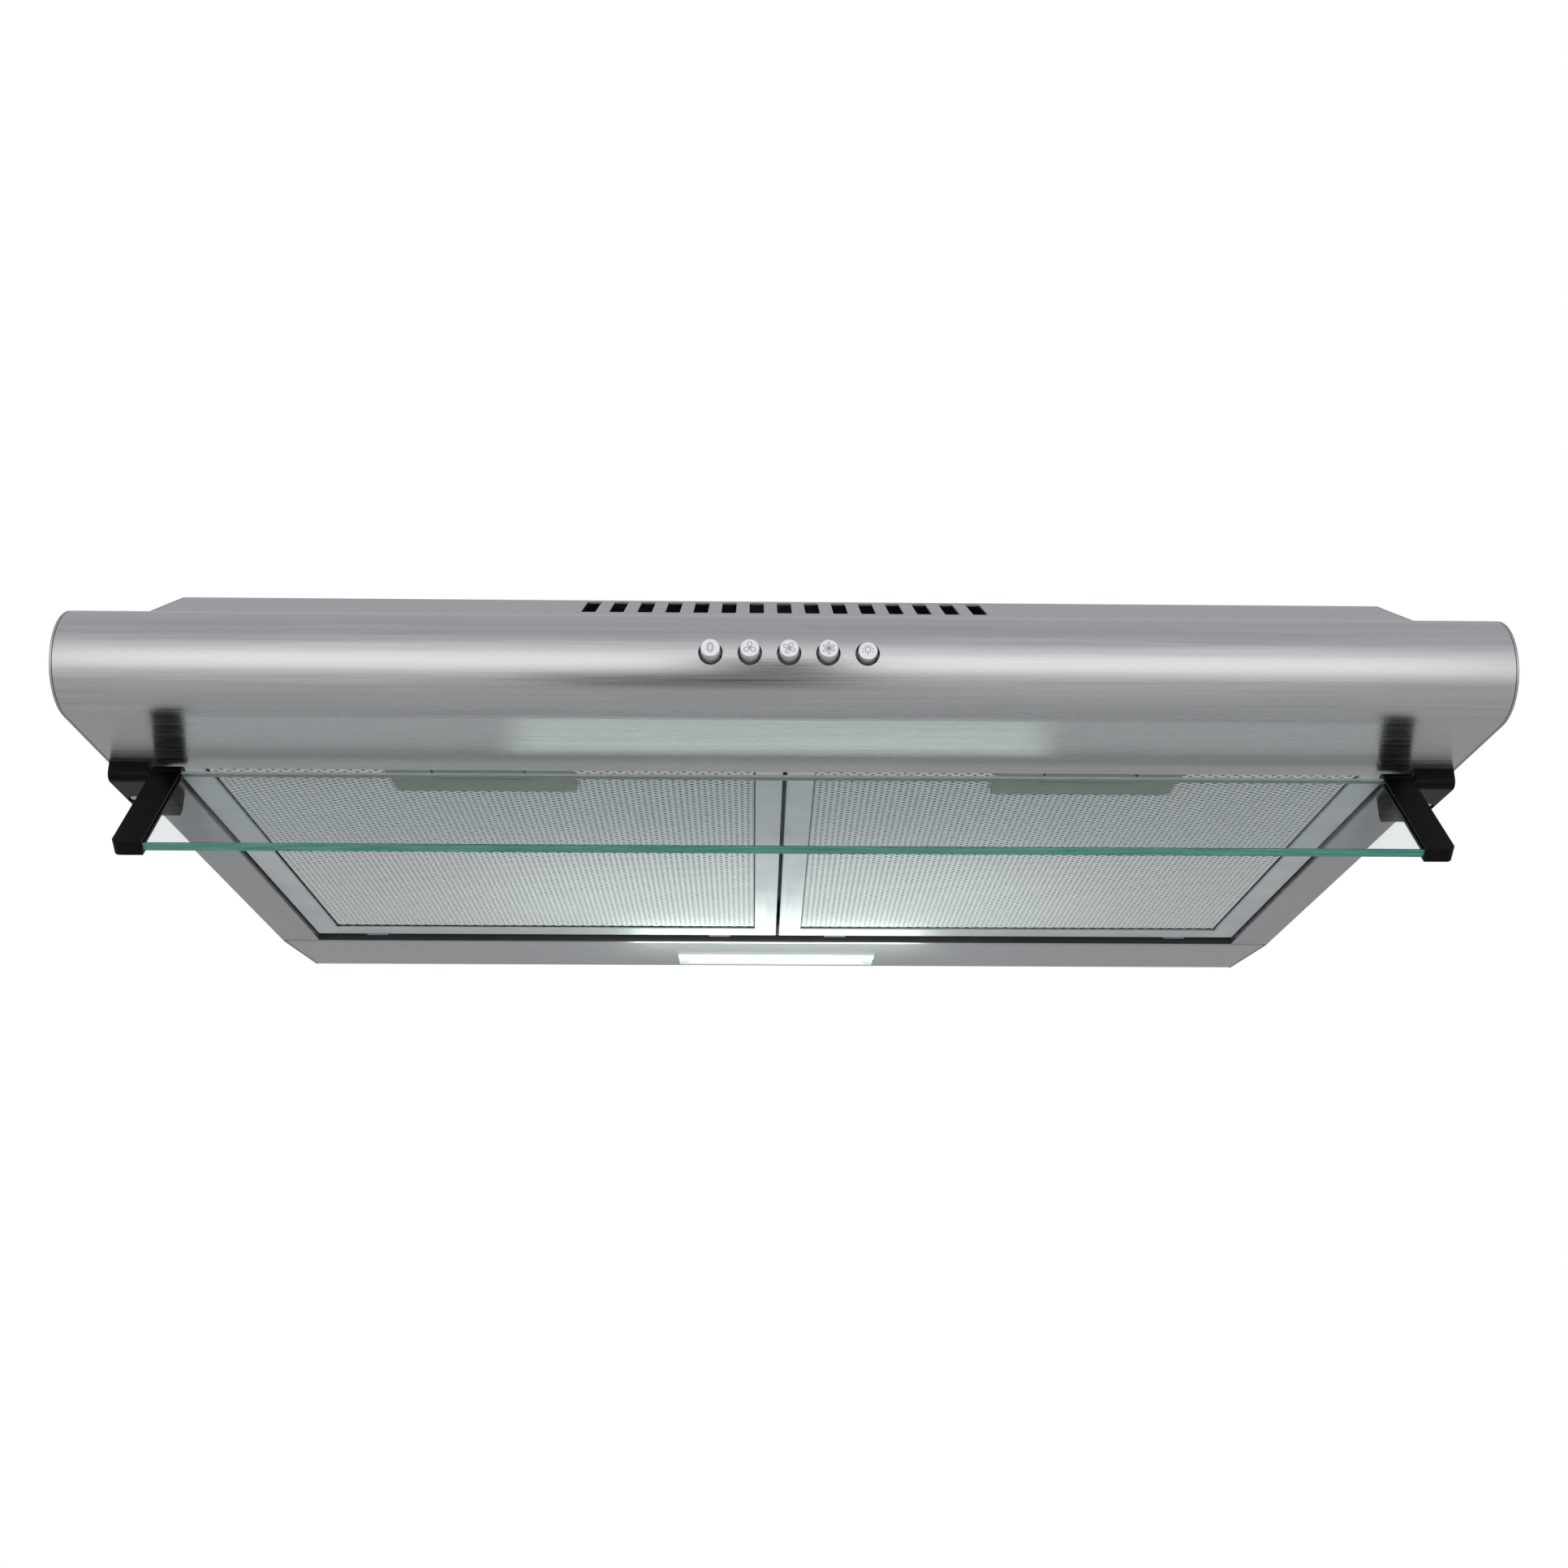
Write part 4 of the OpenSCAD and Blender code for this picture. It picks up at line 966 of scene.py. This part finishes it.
# %% Floor, wall and cards
def card(name, size, place, facing, colour, glow=0.0):
    """A flat rectangle of the studio, size in metres, facing a place."""
    bpy.ops.object.select_all(action="DESELECT")
    bpy.ops.mesh.primitive_plane_add(size=1)
    flat = bpy.context.object
    flat.name = name
    flat.scale = (size[0], size[1], 1)
    aim = (Vector(facing) - Vector(place)).normalized()
    flat.rotation_euler = aim.to_track_quat("Z", "Y").to_euler()
    flat.location = place
    material, _, shader, _ = start(name, colour, 0.9)
    shader.inputs["Specular IOR Level"].default_value = 0.0
    if glow:
        shader.inputs["Emission Color"].default_value = linear(colour)
        shader.inputs["Emission Strength"].default_value = glow
        shader.inputs["Base Color"].default_value = (0, 0, 0, 1)
    flat.data.materials.append(material)
    print(name, [round(v, 2) for v in place])
    return flat


FLOOR_Z = -1.3
card("pale_floor", (24, 24), (0, 4, FLOOR_Z), (0, 4, 5), "e6e6e4")
wall = card("white_wall", (30, 14), (0, 3, 5.7), (0, -5, 5.7), "ffffff", 1.0)
wall.visible_glossy = False
wall.visible_diffuse = False
soft = card("front_softbox", (2.0, 0.95), (0, -1.9, -0.3), (0, -0.3, -0.1), "ffffff", 1.55)
fill = card("front_fill", (3.2, 2.3), (0, -2.1, -0.12), (0, -0.3, -0.1), "ffffff", 0.95)
stand = card("dark_stand", (0.3, 0.72), (-0.07, -1.0, -0.88), (-0.07, 0, -0.88), "0c0c0c")
body = card("camera_body", (0.11, 0.5), (0.0, -1.0, -0.34), (0.0, 0, -0.34), "161616")
for equipment in (soft, fill, stand, body):
    equipment.visible_camera = False
for dark in (stand, body):
    dark.visible_diffuse = False
    dark.visible_shadow = False

world = bpy.context.scene.world or bpy.data.worlds.new("room")
bpy.context.scene.world = world
world.use_nodes = True
room = world.node_tree.nodes["Background"]
room.inputs["Color"].default_value = linear("f4f6fa")
room.inputs["Strength"].default_value = 0.62
print("room", [round(v, 2) for v in room.inputs["Color"].default_value])

# %% [markdown]
# The lens glows, and two soft lights under the hood stand for the light that it sheds. The small
# one brightens the strip round the lens, and the large one the middle of the filters and the
# steel in front of them.


# %% The glow of the lamp
def glow(name, place, size, energy):
    """A soft, cool white light under the hood that shines up."""
    bpy.ops.object.select_all(action="DESELECT")
    bpy.ops.object.light_add(type="AREA", location=place)
    light = bpy.context.object
    light.name = name
    light.data.shape = "RECTANGLE"
    light.data.size, light.data.size_y = size
    light.data.energy = energy
    light.data.color = linear("f2fffa")[:3]
    light.rotation_euler = (math.pi, 0, 0)
    return light


glow("lamp_glow", at(0, 402, -34), (0.18, 0.03), 0.1)
spread = glow("lamp_spread", at(0, 300, -80), (0.3, 0.16), 0.17)
spread.visible_glossy = False
print("studio ready")
